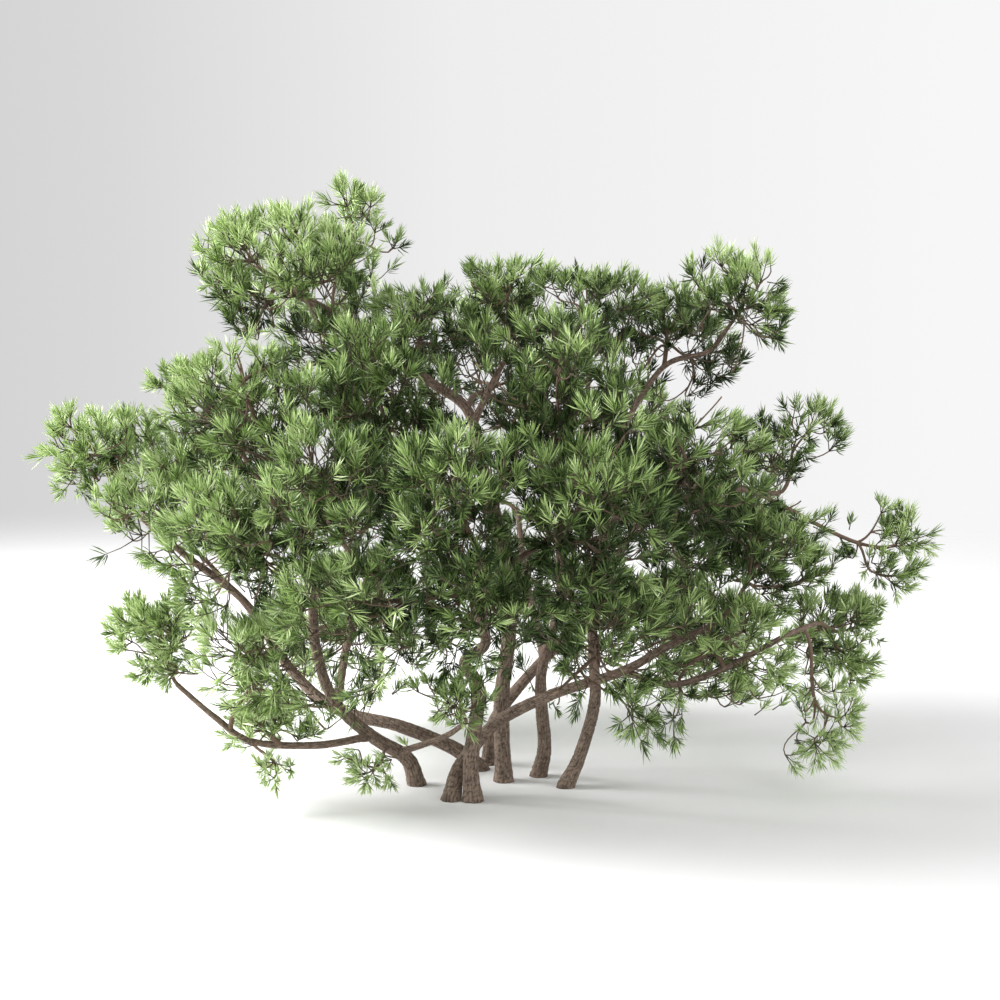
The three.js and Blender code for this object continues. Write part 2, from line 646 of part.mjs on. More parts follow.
/** Mesh of a solid, with one material of its own. */
function meshOf(name, body, colour, roughness) {
  const { vertProperties, triVerts, numProp } = body.getMesh();
  const geometry = new THREE.BufferGeometry();
  const position = new Float32Array(vertProperties.length / numProp * 3);
  for (let i = 0; i < position.length / 3; i += 1) {
    position.set(vertProperties.subarray(i * numProp, i * numProp + 3), i * 3);
  }
  geometry.setAttribute('position', new THREE.BufferAttribute(position, 3));
  geometry.setIndex(new THREE.BufferAttribute(new Uint32Array(triVerts), 1));
  geometry.computeVertexNormals();
  const material = new THREE.MeshStandardMaterial({ color: colour, roughness, metalness: 0 });
  material.name = name;
  material.flatShading = true;
  const mesh = new THREE.Mesh(geometry, material);
  mesh.name = name;
  return mesh;
}

const plant = new THREE.Group();
plant.name = 'pine';

const limbs = {};
Object.entries(LIMBS).forEach(([name, limb]) => {
  limbs[name] = limbLine(limb, limbs);
});

const limbWood = [];
Object.entries(limbs).forEach(([owner, line]) => {
  for (let i = 0; i < line.count; i += 1) {
    limbWood.push({ a: line.points[i], b: line.points[i + 1], radius: line.radii[i], owner });
  }
});

Object.entries(limbs).forEach(([name, line]) => {
  let body = limbBody(line, 0);
  if (line.parent) body = body.subtract(limbBody(limbs[line.parent], CLEARANCE));
  plant.add(meshOf(name, body, line.parent ? '#6b5546' : '#5d4c40', 0.95));
});

const tufts = Object.entries(FOLIAGE).map(([name, [x, y, z, radius, height]]) => ({
  name,
  heart: new THREE.Vector3(x, y, z),
  radii: new THREE.Vector3(radius, radius, radius * height),
  size: Math.min(radius / FULL_SIZE, LARGEST_SPRAY),
}));
const surface = ({ radii, size }) => radii.x * (radii.x + 2 * radii.z) / size / size;
const wholeSurface = tufts.reduce((sum, tuft) => sum + surface(tuft), 0);
tufts.forEach((tuft) => {
  const share = surface(tuft) / wholeSurface;
  tuft.wanted = Math.max(FEWEST_SPRAYS, Math.round(share * SPRAYS_IN_ALL));
});

const stemWood = growStems(tufts, limbs, limbWood);
tufts.forEach((tuft, index) => {
  const growth = growTwigs(tuft, index, cellWalls(tufts, tuft), limbWood, stemWood);
  const body = foliageBody(tuft, growth, limbs[tuft.start.owner]);
  plant.add(meshOf(`foliage_${tuft.name}`, body, '#5f7d48', 0.85));
});

export default plant;
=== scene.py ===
# %% [markdown]
# # A shrubby pine with many stems
# The plant is a mountain pine that grows as a clump. Eight stems leave the ground close together,
# lean apart and fork, and every limb carries tufts of foliage: a stem of its own, twigs, and at the
# end of each twig a spray of shoots with their needles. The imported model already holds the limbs
# as plain tubes and each shoot as one spike. Here the same plant grows once more by the same
# rule, with bark on its limbs, finer twigs, and a brush of real needles on every shoot.

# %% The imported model
import json
import math
from types import SimpleNamespace
import bpy
import numpy as np
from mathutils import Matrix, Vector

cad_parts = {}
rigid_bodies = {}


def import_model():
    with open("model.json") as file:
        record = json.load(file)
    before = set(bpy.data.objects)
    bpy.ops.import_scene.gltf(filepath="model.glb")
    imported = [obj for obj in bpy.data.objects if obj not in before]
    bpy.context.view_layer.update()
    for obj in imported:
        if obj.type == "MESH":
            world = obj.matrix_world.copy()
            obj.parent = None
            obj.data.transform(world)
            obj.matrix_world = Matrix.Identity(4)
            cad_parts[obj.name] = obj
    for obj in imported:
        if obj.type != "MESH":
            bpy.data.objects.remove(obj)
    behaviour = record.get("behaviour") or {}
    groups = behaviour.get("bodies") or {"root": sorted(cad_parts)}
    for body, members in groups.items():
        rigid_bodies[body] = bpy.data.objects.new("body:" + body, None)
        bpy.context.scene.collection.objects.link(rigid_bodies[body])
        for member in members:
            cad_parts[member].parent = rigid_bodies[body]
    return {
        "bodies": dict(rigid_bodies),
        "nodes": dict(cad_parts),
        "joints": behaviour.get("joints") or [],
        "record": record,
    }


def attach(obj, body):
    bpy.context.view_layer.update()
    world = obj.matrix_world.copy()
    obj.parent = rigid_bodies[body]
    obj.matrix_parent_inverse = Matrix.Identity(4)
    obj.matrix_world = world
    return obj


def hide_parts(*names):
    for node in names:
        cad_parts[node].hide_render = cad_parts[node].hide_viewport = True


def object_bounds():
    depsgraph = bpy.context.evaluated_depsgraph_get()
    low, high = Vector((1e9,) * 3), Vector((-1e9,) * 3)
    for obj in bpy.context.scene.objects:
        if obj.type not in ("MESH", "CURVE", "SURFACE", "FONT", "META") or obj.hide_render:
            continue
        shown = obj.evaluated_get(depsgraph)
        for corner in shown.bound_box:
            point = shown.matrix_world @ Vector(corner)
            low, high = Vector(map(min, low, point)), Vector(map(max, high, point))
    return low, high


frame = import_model()
cad_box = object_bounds()
print("box of the solids, in metres:", [tuple(round(v, 3) for v in end) for end in cad_box])

# %% [markdown]
# ## Camera
# The plant is seen from four fifths of its own height, about four and a half metres away, with a
# fairly long lens, so that the near and far tufts keep almost the same scale. A camera could be
# aimed by a constraint, but three numbers and one angle say the same without one.

# %% Camera
FILM_WIDTH = 36          # of the camera, in mm
FOCAL_LENGTH = 67.18     # in mm
EYE = (-0.009, -4.650, 1.246)
DOWNWARD = 6.44          # degrees that it looks down

camera = bpy.data.objects.new("camera", bpy.data.cameras.new("camera"))
camera.data.sensor_width = FILM_WIDTH
camera.data.lens = FOCAL_LENGTH
camera.location = EYE
camera.rotation_euler = (math.radians(90 - DOWNWARD), 0, 0)
bpy.context.scene.collection.objects.link(camera)
bpy.context.scene.camera = camera
print("camera height", round(camera.location.z, 3))

# %% [markdown]
# ## Limbs
# A limb is a smooth line through a few points, with one radius at its root and one at its tip.
# These are the same named numbers as in the source of the solids, in millimetres, so that every
# bough stays where its solid is. Curve objects could draw the lines too, but the rule that grows
# the twigs has to measure distances to them, and that is simpler on arrays of points.

# %% Limbs: the limb they fork from, radius at the root and at the tip, points along the middle
LIMBS = {
    "stem_middle": (None, 21, 7, [[0, 0, 0], [-5, 5, 210], [15, 10, 400], [0, -15, 595],
        [-50, -20, 800], [-90, 20, 945], [-180, 0, 1015], [-265, -60, 1085], [-360, -90, 1160],
        [-470, -90, 1220]]),
    "stem_left": (None, 20, 7, [[-220, -35, 0], [-245, -40, 70], [-330, -75, 135],
        [-420, -100, 230], [-465, -90, 360], [-480, -60, 525], [-500, -150, 640],
        [-520, -330, 720]]),
    "stem_back_left": (None, 20, 7, [[-60, 115, 0], [-125, 90, 60], [-265, 70, 125],
        [-435, 100, 165], [-560, 130, 270], [-670, 110, 445], [-800, 40, 570],
        [-900, -40, 680]]),
    "stem_front": (None, 21, 7, [[-75, -185, 0], [-80, -180, 100], [-62, -150, 265],
        [-95, -140, 335], [-45, -150, 385], [-60, -200, 470], [-40, -360, 570],
        [-30, -520, 640]]),
    "stem_front_right": (None, 20, 6.5, [[-130, -178, 0], [-105, -130, 75], [-20, -110, 175],
        [115, -190, 265], [285, -245, 335], [395, -275, 405], [500, -300, 460]]),
    "stem_back": (None, 18, 7.5, [[-40, 170, 0], [-20, 140, 130], [80, 120, 265],
        [155, 110, 350], [290, 180, 545], [420, 260, 720]]),
    "stem_right_inner": (None, 19, 7.5, [[90, 50, 0], [105, 40, 80], [95, 15, 220],
        [100, -20, 310], [140, -60, 475], [140, -100, 660], [190, -80, 840]]),
    "stem_right": (None, 18, 6.5, [[155, -60, 0], [195, -45, 85], [230, -20, 210],
        [228, 5, 320], [225, 20, 475], [260, 10, 635], [380, 20, 750], [530, 30, 750],
        [700, 60, 730]]),
    "bough_low_left": ("stem_left", 10, 6, [[-330, -75, 135], [-460, -170, 135],
        [-610, -230, 160], [-700, -240, 225], [-790, -225, 300]]),
    "bough_low_front": ("stem_left", 9, 6, [[-262, -48, 90], [-150, -150, 150],
        [-90, -265, 215]]),
    "bough_top_right": ("stem_right", 8.5, 6, [[254, 12, 600], [270, 60, 770], [310, 100, 900],
        [405, 90, 1050], [510, 40, 1090], [550, -20, 1145]]),
    "bough_top_middle": ("stem_middle", 9, 6.5, [[-80, 5, 910], [-30, 20, 1010],
        [10, 30, 1080]]),
    "bough_back_left": ("stem_back_left", 12, 7, [[-435, 100, 165], [-400, 250, 380],
        [-330, 420, 560]]),
    "bough_back": ("stem_back", 10.5, 7, [[110, 115, 290], [60, 300, 480], [40, 480, 640]]),
    "bough_front_right": ("stem_right_inner", 7.5, 6, [[142, -90, 620], [180, -260, 720],
        [220, -420, 780]]),
    "bough_low_right": ("stem_front_right", 8.5, 6, [[285, -245, 335], [400, -300, 315],
        [520, -310, 355], [680, -230, 420], [760, -180, 440]]),
}
RINGS_PER_SPAN = 2       # rings between two points of a limb, where stems of tufts may start
FLARE_GROWTH = 0.3       # share by which a stem widens at ground level
FLARE_HEIGHT = 35        # height over which that widening fades
print(len(LIMBS), "limbs")


# %% Lines through points
def unit(v):
    """Vectors divided by their lengths; the last axis holds x, y and z."""
    return v / np.linalg.norm(v, axis=-1, keepdims=True)


def along_points(points, t):
    """Smooth curve through all points. With a, b, c, d the points round the span that t falls in
    and s the share of it, half of 2b + (c-a)s + (2a-5b+4c-d)s^2 + (3b-a-3c+d)s^3."""
    p = np.vstack([2 * points[0] - points[1], points, 2 * points[-1] - points[-2]])
    last = len(points) - 1
    at = np.clip(np.asarray(t) * last, 0, last - 1e-9)
    i = at.astype(int)
    s = (at - i)[..., None]
    a, b, c, d = (p[i + k] for k in range(4))
    bend = (2 * a - 5 * b + 4 * c - d) * s**2 + (3 * b - a - 3 * c + d) * s**3
    return 0.5 * (2 * b + (c - a) * s + bend)


def pulled(a, b, c, d, t):
    """Curve with two ends a and d, pulled towards b and c: with u = 1 - t it is
    a u^3 + 3 b u^2 t + 3 c u t^2 + d t^3."""
    t = np.asarray(t)[..., None]
    u = 1 - t
    return a * u**3 + 3 * b * u * u * t + 3 * c * u * t * t + d * t**3


def nearest_on(line, point):
    """Nearest point of a line of straight pieces: the foot of the perpendicular on each piece,
    kept between its ends, and of all these feet the closest."""
    way = line[1:] - line[:-1]
    share = ((point - line[:-1]) * way).sum(1) / (way * way).sum(1)
    feet = line[:-1] + way * np.clip(share, 0, 1)[:, None]
    return feet[np.argmin(np.linalg.norm(feet - point, axis=1))]


# %% Limbs as points and radii
def limb_at(limb, t):
    """Points and radii of a limb at the shares t of its way. The radius goes evenly from root to
    tip, and a stem is wider at its foot by 0.3 exp(-height / 35)."""
    points = along_points(limb.corners, t)
    flare = 0 if limb.parent else FLARE_GROWTH * np.exp(-points[..., 2] / FLARE_HEIGHT)
    radii = limb.root + (limb.tip - limb.root) * np.asarray(t)
    return points, radii * (1 + flare)


limbs = {}
for name, (parent, root, tip, corners) in LIMBS.items():
    limb = SimpleNamespace(parent=parent, root=root, tip=tip, corners=np.array(corners, float))
    if parent:
        limb.corners[0] = nearest_on(limbs[parent].points, limb.corners[0])
    limb.count = RINGS_PER_SPAN * (len(corners) - 1)
    limb.points, limb.radii = limb_at(limb, np.arange(limb.count + 1) / limb.count)
    limbs[name] = limb
reach = {name: round(float(limb.points[-1, 2])) for name, limb in limbs.items()}
print("heights of the limbs' tips in mm:", reach)

# %% [markdown]
# ## Room for growth
# Twigs and shoots of the real crown grow where there is light, so they stay out of each other's
# way. The rule copies that with two tests: every tuft keeps to a space of its own, between flat
# walls, and each new piece of wood keeps a distance from the straight pieces that are there.


# %% Distances between straight pieces of wood
class Wood:
    """Straight pieces of wood, each with its radius and owner."""

    def __init__(self):
        self.rows = []
        self.owners = []

    def add(self, a, b, radius, owner=None):
        """One more piece from a to b."""
        self.rows.append(np.concatenate([a, b, [radius]]))
        self.owners.append(owner)
        self.table = None

    def gaps(self, p, q):
        """Shortest distance from the straight piece p q to each piece a b, less its radius. The
        closest shares s and t of both solve two linear equations, and are kept between 0 and 1."""
        if self.table is None:
            self.table = np.array(self.rows)
            self.names = np.array(self.owners, dtype=object)
        a, b, radius = self.table[:, :3], self.table[:, 3:6], self.table[:, 6]
        u, v, w = q - p, b - a, p - a
        uu, vv = u @ u, (v * v).sum(1)
        vw, uw, uv = (v * w).sum(1), w @ u, v @ u
        spread = uu * vv - uv * uv
        is_skew = spread > 1e-6
        s = np.clip((uv * vw - uw * vv) / np.where(is_skew, spread, 1), 0, 1)
        s = np.where(is_skew, s, 0)
        t = (uv * s + vw) / vv
        s = np.where(t < 0, np.clip(-uw / uu, 0, 1), s)
        s = np.where(t > 1, np.clip((uv - uw) / uu, 0, 1), s)
        t = np.clip(t, 0, 1)
        return np.linalg.norm(w + s[:, None] * u - t[:, None] * v, axis=1) - radius

    def is_clear(self, p, q, margin, owner=None):
        """True when p q keeps the margin to every piece that has another owner."""
        if not self.rows:
            return True
        close = self.gaps(p, q) <= margin
        return not (close if owner is None else close & (self.names != owner)).any()


limb_wood = Wood()
for name, limb in limbs.items():
    for a, b, radius in zip(limb.points, limb.points[1:], limb.radii):
        limb_wood.add(a, b, radius, name)
print(len(limb_wood.rows), "straight pieces of limbs")


# %% Numbers that look random
class Draw:
    """Always the same numbers for the same seed: each state is 16807 times the last one, less
    every whole multiple of 2147483647."""

    def __init__(self, seed):
        self.state = seed
        for _ in range(3):
            self()

    def __call__(self, low=0.0, high=1.0):
        self.state = self.state * 16807 % 2147483647
        return low + (high - low) * self.state / 2147483647


# %% [markdown]
# ## Tufts of foliage
# Each tuft fills a flattened ball. Its middle, its radius seen from above and its height as a
# share of its width are again the numbers of the source.

# %% Tufts of the crown
FOLIAGE = {
    "top_left_tip": (-375, 40, 1420, 110, 0.95),
    "top_left_outer": (-605, -60, 1310, 155, 0.9),
    "top_left_inner": (-470, -150, 1290, 170, 0.95),
    "top_left_back": (-420, 260, 1140, 220, 0.9),
    "left_shoulder": (-740, -60, 985, 120, 0.85),
    "left_tip": (-1015, -120, 875, 125, 0.9),
    "left_upper": (-875, 60, 830, 150, 0.85),
    "left_lower": (-815, -180, 705, 165, 0.85),
    "left_front": (-590, -330, 980, 195, 0.85),
    "left_back": (-650, 430, 760, 260, 0.9),
    "left_low_front": (-600, -460, 670, 200, 0.95),
    "top_middle_left": (-200, -60, 1160, 170, 0.85),
    "top_middle": (10, 60, 1190, 185, 0.85),
    "top_middle_right": (220, -40, 1180, 180, 0.85),
    "top_front_left": (-300, -380, 1000, 205, 0.9),
    "top_front_right": (120, -430, 1000, 215, 0.9),
    "top_back": (-10, 450, 1020, 290, 0.85),
    "top_right_inner": (420, 120, 1155, 160, 0.9),
    "top_right": (595, -60, 1225, 150, 0.95),
    "front_left": (-350, -600, 790, 195, 0.9),
    "front_middle": (-100, -740, 800, 195, 0.9),
    "front_right": (150, -700, 770, 200, 0.95),
    "right_front": (380, -430, 820, 210, 0.9),
    "right_shoulder": (740, 60, 865, 130, 0.9),
    "right_outer": (640, -240, 640, 190, 0.95),
    "far_right": (965, -60, 610, 115, 1.15),
    "back_left": (-360, 700, 670, 315, 0.85),
    "back_right": (340, 680, 730, 315, 0.85),
    "back_far_right": (600, 480, 580, 255, 0.85),
    "low_left": (-560, -380, 400, 180, 0.9),
    "low_left_outer": (-835, -220, 425, 120, 1),
    "low_left_under": (-580, -250, 190, 105, 0.9),
    "low_front_left": (-330, -600, 575, 190, 0.85),
    "low_front": (-60, -620, 600, 185, 0.85),
    "low_front_right": (220, -520, 480, 195, 0.85),
    "low_right": (485, -300, 425, 215, 0.85),
    "low_right_outer": (840, -40, 395, 135, 1),
    "hanging_right": (800, -120, 200, 110, 1.25),
    "low_back_right": (520, 430, 340, 245, 0.8),
    "low_back": (80, 640, 370, 260, 0.8),
    "low_back_left": (-400, 480, 300, 260, 0.8),
    "low_front_sprays": (-115, -330, 270, 90, 0.9),
    "low_left_tip": (-545, -300, 115, 75, 0.8),
    "low_middle_tip": (-310, -280, 105, 75, 0.8),
}
CROWN_HEART = np.array([-20.0, 0.0, 430.0])
UP = np.array([0.0, 0.0, 1.0])
FULL_SIZE = 155          # radius of the tufts whose sprays have just the sizes below
LARGEST_SPRAY = 1.1      # wider tufts have larger sprays, up to this
SPRAYS_IN_ALL = 160
FEWEST_SPRAYS = 3
CELL_GAP = 0.4           # from a tuft's last shoot to the wall of its own space

tufts = []
for index, (name, (x, y, z, radius, height)) in enumerate(FOLIAGE.items()):
    tuft = SimpleNamespace(name=name, index=index, heart=np.array([x, y, z], float))
    tuft.radii = np.array([radius, radius, radius * height])
    tuft.size = min(radius / FULL_SIZE, LARGEST_SPRAY)
    tuft.surface = radius * (radius + 2 * radius * height) / tuft.size**2
    tufts.append(tuft)
for tuft in tufts:
    share = tuft.surface / sum(other.surface for other in tufts)
    tuft.wanted = max(FEWEST_SPRAYS, math.floor(share * SPRAYS_IN_ALL + 0.5))
    others = [other for other in tufts if other is not tuft]
    ways = np.array([other.heart - tuft.heart for other in others])
    shares = np.array([tuft.radii[0] / (tuft.radii[0] + other.radii[0]) for other in others])
    lengths = np.linalg.norm(ways, axis=1)
    tuft.normals = ways / lengths[:, None]
    tuft.reach = tuft.normals @ tuft.heart + lengths * shares - CELL_GAP
print(len(tufts), "tufts for", sum(tuft.wanted for tuft in tufts), "sprays")

# %% [markdown]
# ## Stems of the tufts
# A tuft hangs on one stem, which leaves the limb that lies best for it: near, without a sharp turn,
# and rather at the free end of a limb. The tufts that are nearest to a limb choose first.

# %% Growth of the stems
TUFT_STEM_SPANS = 4
TUFT_STEM_RADIUS = 6     # what other wood keeps clear of
LEAST_TUFT_STEM = 60
STARTS_APART = 32
LIMB_ROOM = 8            # from a tuft's stem to any limb
STEM_ROOM = 9            # from a tuft's stem to another
LEAVING_PULL = 0.35      # of a stem's length, from its start to the point that pulls it first,
ARRIVING_PULL = 0.3      # and from its end to the other one
SIDEWAYS = 0.4           # how much a stem follows its limb where it leaves the limb's side
OWN_LIMB_ROOM = 2        # from the second span of a tuft's stem to its own limb
FIRST_START = 3          # ring of a limb that may carry the first stem
TURN_PRICE = 0.5         # a stem prefers a way that turns little,
TIP_PRICE = 0.72         # the free end of a limb,
ROOT_PRICE = 30          # and the limb's outer part


def outward_from(heart):
    """Direction in which a tuft looks: away from the middle of the crown, and half as much up."""
    return unit(unit(heart - CROWN_HEART) + 0.5 * UP)


def stem_pull(start, heart):
    """The four points that pull a tuft's stem from its start on a limb to its heart."""
    straight = unit(heart - start.point)
    length = np.linalg.norm(heart - start.point)
    leave = unit(straight + start.direction * (1 if start.is_tip else SIDEWAYS))
    arrive = unit(outward_from(heart) + straight)
    return (start.point, start.point + LEAVING_PULL * length * leave,
        heart - ARRIVING_PULL * length * arrive, heart)


starts = []
for owner, limb in limbs.items():
    for i in range(FIRST_START, limb.count + 1):
        starts.append(SimpleNamespace(owner=owner, point=limb.points[i], radius=limb.radii[i],
            direction=unit(limb.points[i] - limb.points[i - 1]), is_tip=i == limb.count,
            share=i / limb.count))
start_points = np.array([start.point for start in starts])


def start_price(start, heart):
    """Length of the way, dearer where it turns, cheaper from a tip and on the outer limb."""
    way = heart - start.point
    length = np.linalg.norm(way)
    turn = 1 - start.direction @ way / length
    best = TIP_PRICE if start.is_tip else 1
    return length * (1 + TURN_PRICE * turn) * best + ROOT_PRICE * (1 - start.share)


# %% Each tuft takes its stem
stem_wood = Wood()
taken = []


def has_room(points, owner):
    """True when every span of a stem keeps clear of the limbs and of all other stems."""
    for i, (p, q) in enumerate(zip(points, points[1:])):
        if not limb_wood.is_clear(p, q, LIMB_ROOM, owner if i < 2 else None):
            return False
        if i > 0 and not limb_wood.is_clear(p, q, OWN_LIMB_ROOM):
            return False
        if not stem_wood.is_clear(p, q, STEM_ROOM):
            return False
    return True


def takes(start, tuft):
    """True when a start is far enough from the tuft and from the starts that are taken."""
    if np.linalg.norm(start.point - tuft.heart) <= LEAST_TUFT_STEM:
        return False
    return all(np.linalg.norm(start.point - other.point) >= STARTS_APART for other in taken)


def nearest_start(tuft):
    """Distance from a tuft's heart to the nearest place on any limb."""
    return np.linalg.norm(start_points - tuft.heart, axis=1).min()


for tuft in sorted(tufts, key=nearest_start):
    ranked = sorted((one for one in starts if takes(one, tuft)),
        key=lambda one: start_price(one, tuft.heart))
    for start in ranked:
        pull = stem_pull(start, tuft.heart)
        points = pulled(*pull, np.arange(TUFT_STEM_SPANS + 1) / TUFT_STEM_SPANS)
        if has_room(points, start.owner):
            break
    tuft.start, tuft.pull, tuft.points = start, pull, points
    taken.append(start)
    for a, b in zip(points, points[1:]):
        stem_wood.add(a, b, TUFT_STEM_RADIUS, tuft.name)
print("stems of tufts, longest in mm:", round(max(
    np.linalg.norm(np.diff(tuft.points, axis=0), axis=1).sum() for tuft in tufts)))

# %% [markdown]
# ## Twigs and sprays
# Places for the sprays are spread evenly over a tuft, and each is reached by a twig from the best
# node of the wood that is there already. So the twigs fork as real ones do, and the wood near the
# stem carries more and grows thicker. A first round makes just the sprays that the solids have. A
# second one goes on with the same places on shorter twigs, which the solids are too coarse for.

# %% Frames across a direction
def beside(tangent):
    """An axis that isn't along the tangent: y where the tangent is nearly along x, else x."""
    return np.where(np.abs(tangent[..., :1]) > 0.8, [0.0, 1.0, 0.0], [1.0, 0.0, 0.0])


def frame_at(tangent, near):
    """Two directions across a tangent: the first as near as can be to the one given, which is
    what is left of it beside the tangent; the second is the tangent crossed with the first."""
    across = unit(near - tangent * (tangent * near).sum(-1, keepdims=True))
    return across, np.cross(tangent, across)


def frames_along(points, first=None, last=None):
    """Tangents and frames along paths of the shape (..., points, 3), without twist: each frame
    starts from the one before it."""
    tangents = np.empty_like(points)
    tangents[..., 1:-1, :] = points[..., 2:, :] - points[..., :-2, :]
    tangents[..., 0, :] = points[..., 1, :] - points[..., 0, :]
    tangents[..., -1, :] = points[..., -1, :] - points[..., -2, :]
    tangents = unit(tangents)
    if first is not None:
        tangents[..., 0, :] = first
    if last is not None:
        tangents[..., -1, :] = last
    across = beside(tangents[..., 0, :])
    found = []
    for i in range(points.shape[-2]):
        across, other = frame_at(tangents[..., i, :], across)
        found.append((across, other))
    return tangents, np.stack([a for a, _ in found], -2), np.stack([o for _, o in found], -2)


# %% Where the crown has room
SWOLLEN = 1.4            # between two tufts the crown has room out to this share of both

hearts = np.array([tuft.heart for tuft in tufts])
balls = np.array([tuft.radii for tuft in tufts])


def is_in_crown(point, tuft):
    """True inside a tuft's own ball, and between two tufts: so far from both that it lies in
    both balls once they are swollen. The distance is measured in radii of the ball."""
    shares = np.linalg.norm((point - hearts) / balls, axis=1)
    return shares[tuft.index] <= 1 or np.count_nonzero(shares <= SWOLLEN) > 1


# %% [markdown]
# ## Sprays that the picture shows
# The rule spreads the sprays evenly, but on the plant some stand where it puts none. A spray in the
# picture lies somewhere on a line of sight, so that line is followed through the crown, and the
# spray goes to the point on it that lies deepest in a tuft. Points in space could be given
# instead, but a picture has no depth, and this way the numbers say only what can be seen.

# %% Places of sprays in the picture
# They were read off, in thousandths of the picture's side from the left and from the top.
SEEN = [(642, 553), (690, 575), (735, 583), (780, 580), (815, 575), (787, 670), (795, 650),
    (870, 672), (640, 692), (680, 698), (655, 725), (700, 690), (320, 715), (355, 715),
    (300, 730), (405, 635), (440, 635), (410, 688), (145, 665), (112, 650), (393, 235),
    (200, 235), (198, 270), (225, 330), (258, 345), (715, 370), (735, 350), (650, 370),
    (685, 400), (463, 262), (466, 285), (450, 317), (255, 577), (375, 540), (97, 500), (495, 465),
    (475, 545), (915, 575), (225, 735), (222, 710), (455, 640), (560, 560), (345, 700),
    (560, 690), (155, 378), (385, 525), (310, 400), (300, 560), (340, 560), (390, 590),
    (430, 600), (420, 560), (470, 590), (270, 610), (300, 640), (340, 610), (360, 650),
    (240, 640), (500, 560), (337, 755), (645, 714), (668, 712), (230, 338), (225, 322),
    (500, 262), (582, 268), (697, 268), (418, 285), (640, 370), (700, 405), (745, 425),
    (840, 440), (745, 575), (665, 565), (840, 680), (850, 600), (160, 672), (190, 600),
    (885, 500), (905, 512), (832, 572), (665, 393), (692, 412), (612, 695), (780, 640),
    (488, 700), (482, 675), (425, 680), (435, 722), (310, 688), (375, 692), (455, 690),
    (520, 680), (545, 700), (580, 690), (625, 690), (660, 690), (705, 703), (740, 690),
    (762, 700), (285, 700), (260, 690), (240, 700), (270, 718), (680, 360), (700, 382),
    (720, 358), (735, 378), (665, 380), (690, 398), (712, 398), (230, 300), (215, 280),
    (250, 320), (655, 733), (635, 728), (678, 730), (720, 575), (738, 568), (700, 555),
    (760, 590), (742, 430), (768, 420), (800, 405), (832, 412), (780, 585), (842, 575),
    (858, 566), (908, 585), (922, 570), (380, 540), (415, 560), (465, 532), (515, 500),
    (455, 408), (470, 375), (260, 345), (262, 350), (655, 358), (640, 350), (100, 495),
    (106, 510), (330, 632), (440, 652), (620, 640), (450, 262), (418, 280), (392, 250),
    (492, 262), (550, 268), (585, 262), (870, 600), (632, 412), (641, 393), (651, 374),
    (666, 338), (745, 592), (752, 572), (790, 480), (800, 470), (850, 545), (846, 560),
    (820, 512), (866, 680), (800, 712), (797, 762), (406, 655), (420, 622), (505, 490),
    (770, 455), (322, 765), (405, 740), (350, 745), (250, 370), (225, 338), (603, 280),
    (503, 492), (485, 533), (543, 530), (455, 552), (462, 580), (480, 572), (530, 548),
    (612, 560), (600, 582), (575, 600), (640, 600), (700, 600), (350, 560), (375, 560),
    (480, 712), (472, 695), (365, 712), (372, 700), (560, 640), (250, 575), (240, 588),
    (410, 560), (520, 490), (535, 515)]
print(len(SEEN), "places of sprays")


# %% Lines of sight
FOCUS = 1000 * camera.data.lens / camera.data.sensor_width
eye = 1000 * np.array(camera.location)
tilt = camera.rotation_euler.x - math.pi / 2
depths = np.arange(-750, 500, 25)
BEHIND = 100             # y from which a point counts as behind the middle of the plant
WALL_ROOM = 25           # from the middle of such a spray to the walls of the tuft's own space
LEAST_HEIGHT = 60


def on_sight(x, y):
    """Points at all depths on the line of sight through a place of the picture: the camera's
    ahead, plus right and up by the place's way from the middle in focal lengths."""
    u, v = (x - 500) / FOCUS, (500 - y) / FOCUS
    line = np.array([u, math.cos(tilt) - v * math.sin(tilt), math.sin(tilt) + v * math.cos(tilt)])
    return eye + line * ((depths - eye[1]) / line[1])[:, None]


def in_picture(points):
    """Where points show in the picture: from its middle, their way right and their way down, in
    focal lengths, over their way ahead."""
    away = points - eye
    ahead = away[:, 1] * math.cos(tilt) + away[:, 2] * math.sin(tilt)
    rise = away[:, 2] * math.cos(tilt) - away[:, 1] * math.sin(tilt)
    return 500 + FOCUS * away[:, 0] / ahead, 500 - FOCUS * rise / ahead


def own_tuft(points):
    """The point that lies deepest in the ball of the tuft whose own space holds it, with that
    tuft's number. A point in front of the middle of the plant comes first."""
    found = []
    for tuft in tufts:
        shares = np.linalg.norm((points - tuft.heart) / tuft.radii, axis=1)
        shares = shares + (points[:, 1] > BEHIND)
        is_held = (points @ tuft.normals.T + WALL_ROOM <= tuft.reach).all(1)
        is_held = is_held & (points[:, 2] > LEAST_HEIGHT)
        found += [(share, tuft.index, tuple(point)) for share, held, point
            in zip(shares, is_held, points) if held]
    return min(found)[1:]


needed = {}
for x, y in SEEN:
    index, point = own_tuft(on_sight(x, y))
    needed.setdefault(index, []).append(np.array(point))
print({tufts[index].name: len(places) for index, places in needed.items()})


# %% [markdown]
# ## Growth of a tuft
# The wood of a tuft is a list of nodes, each with the node that it grew from. A new twig starts at
# the node that suits it best, so the order of growth decides where the wood forks, as on the plant.
# No mesh is made yet: a tuft only keeps the curves of its twigs and the ends of its shoots, and
# whole arrays are made of them later. The class is built up in four steps, each with its own cell.

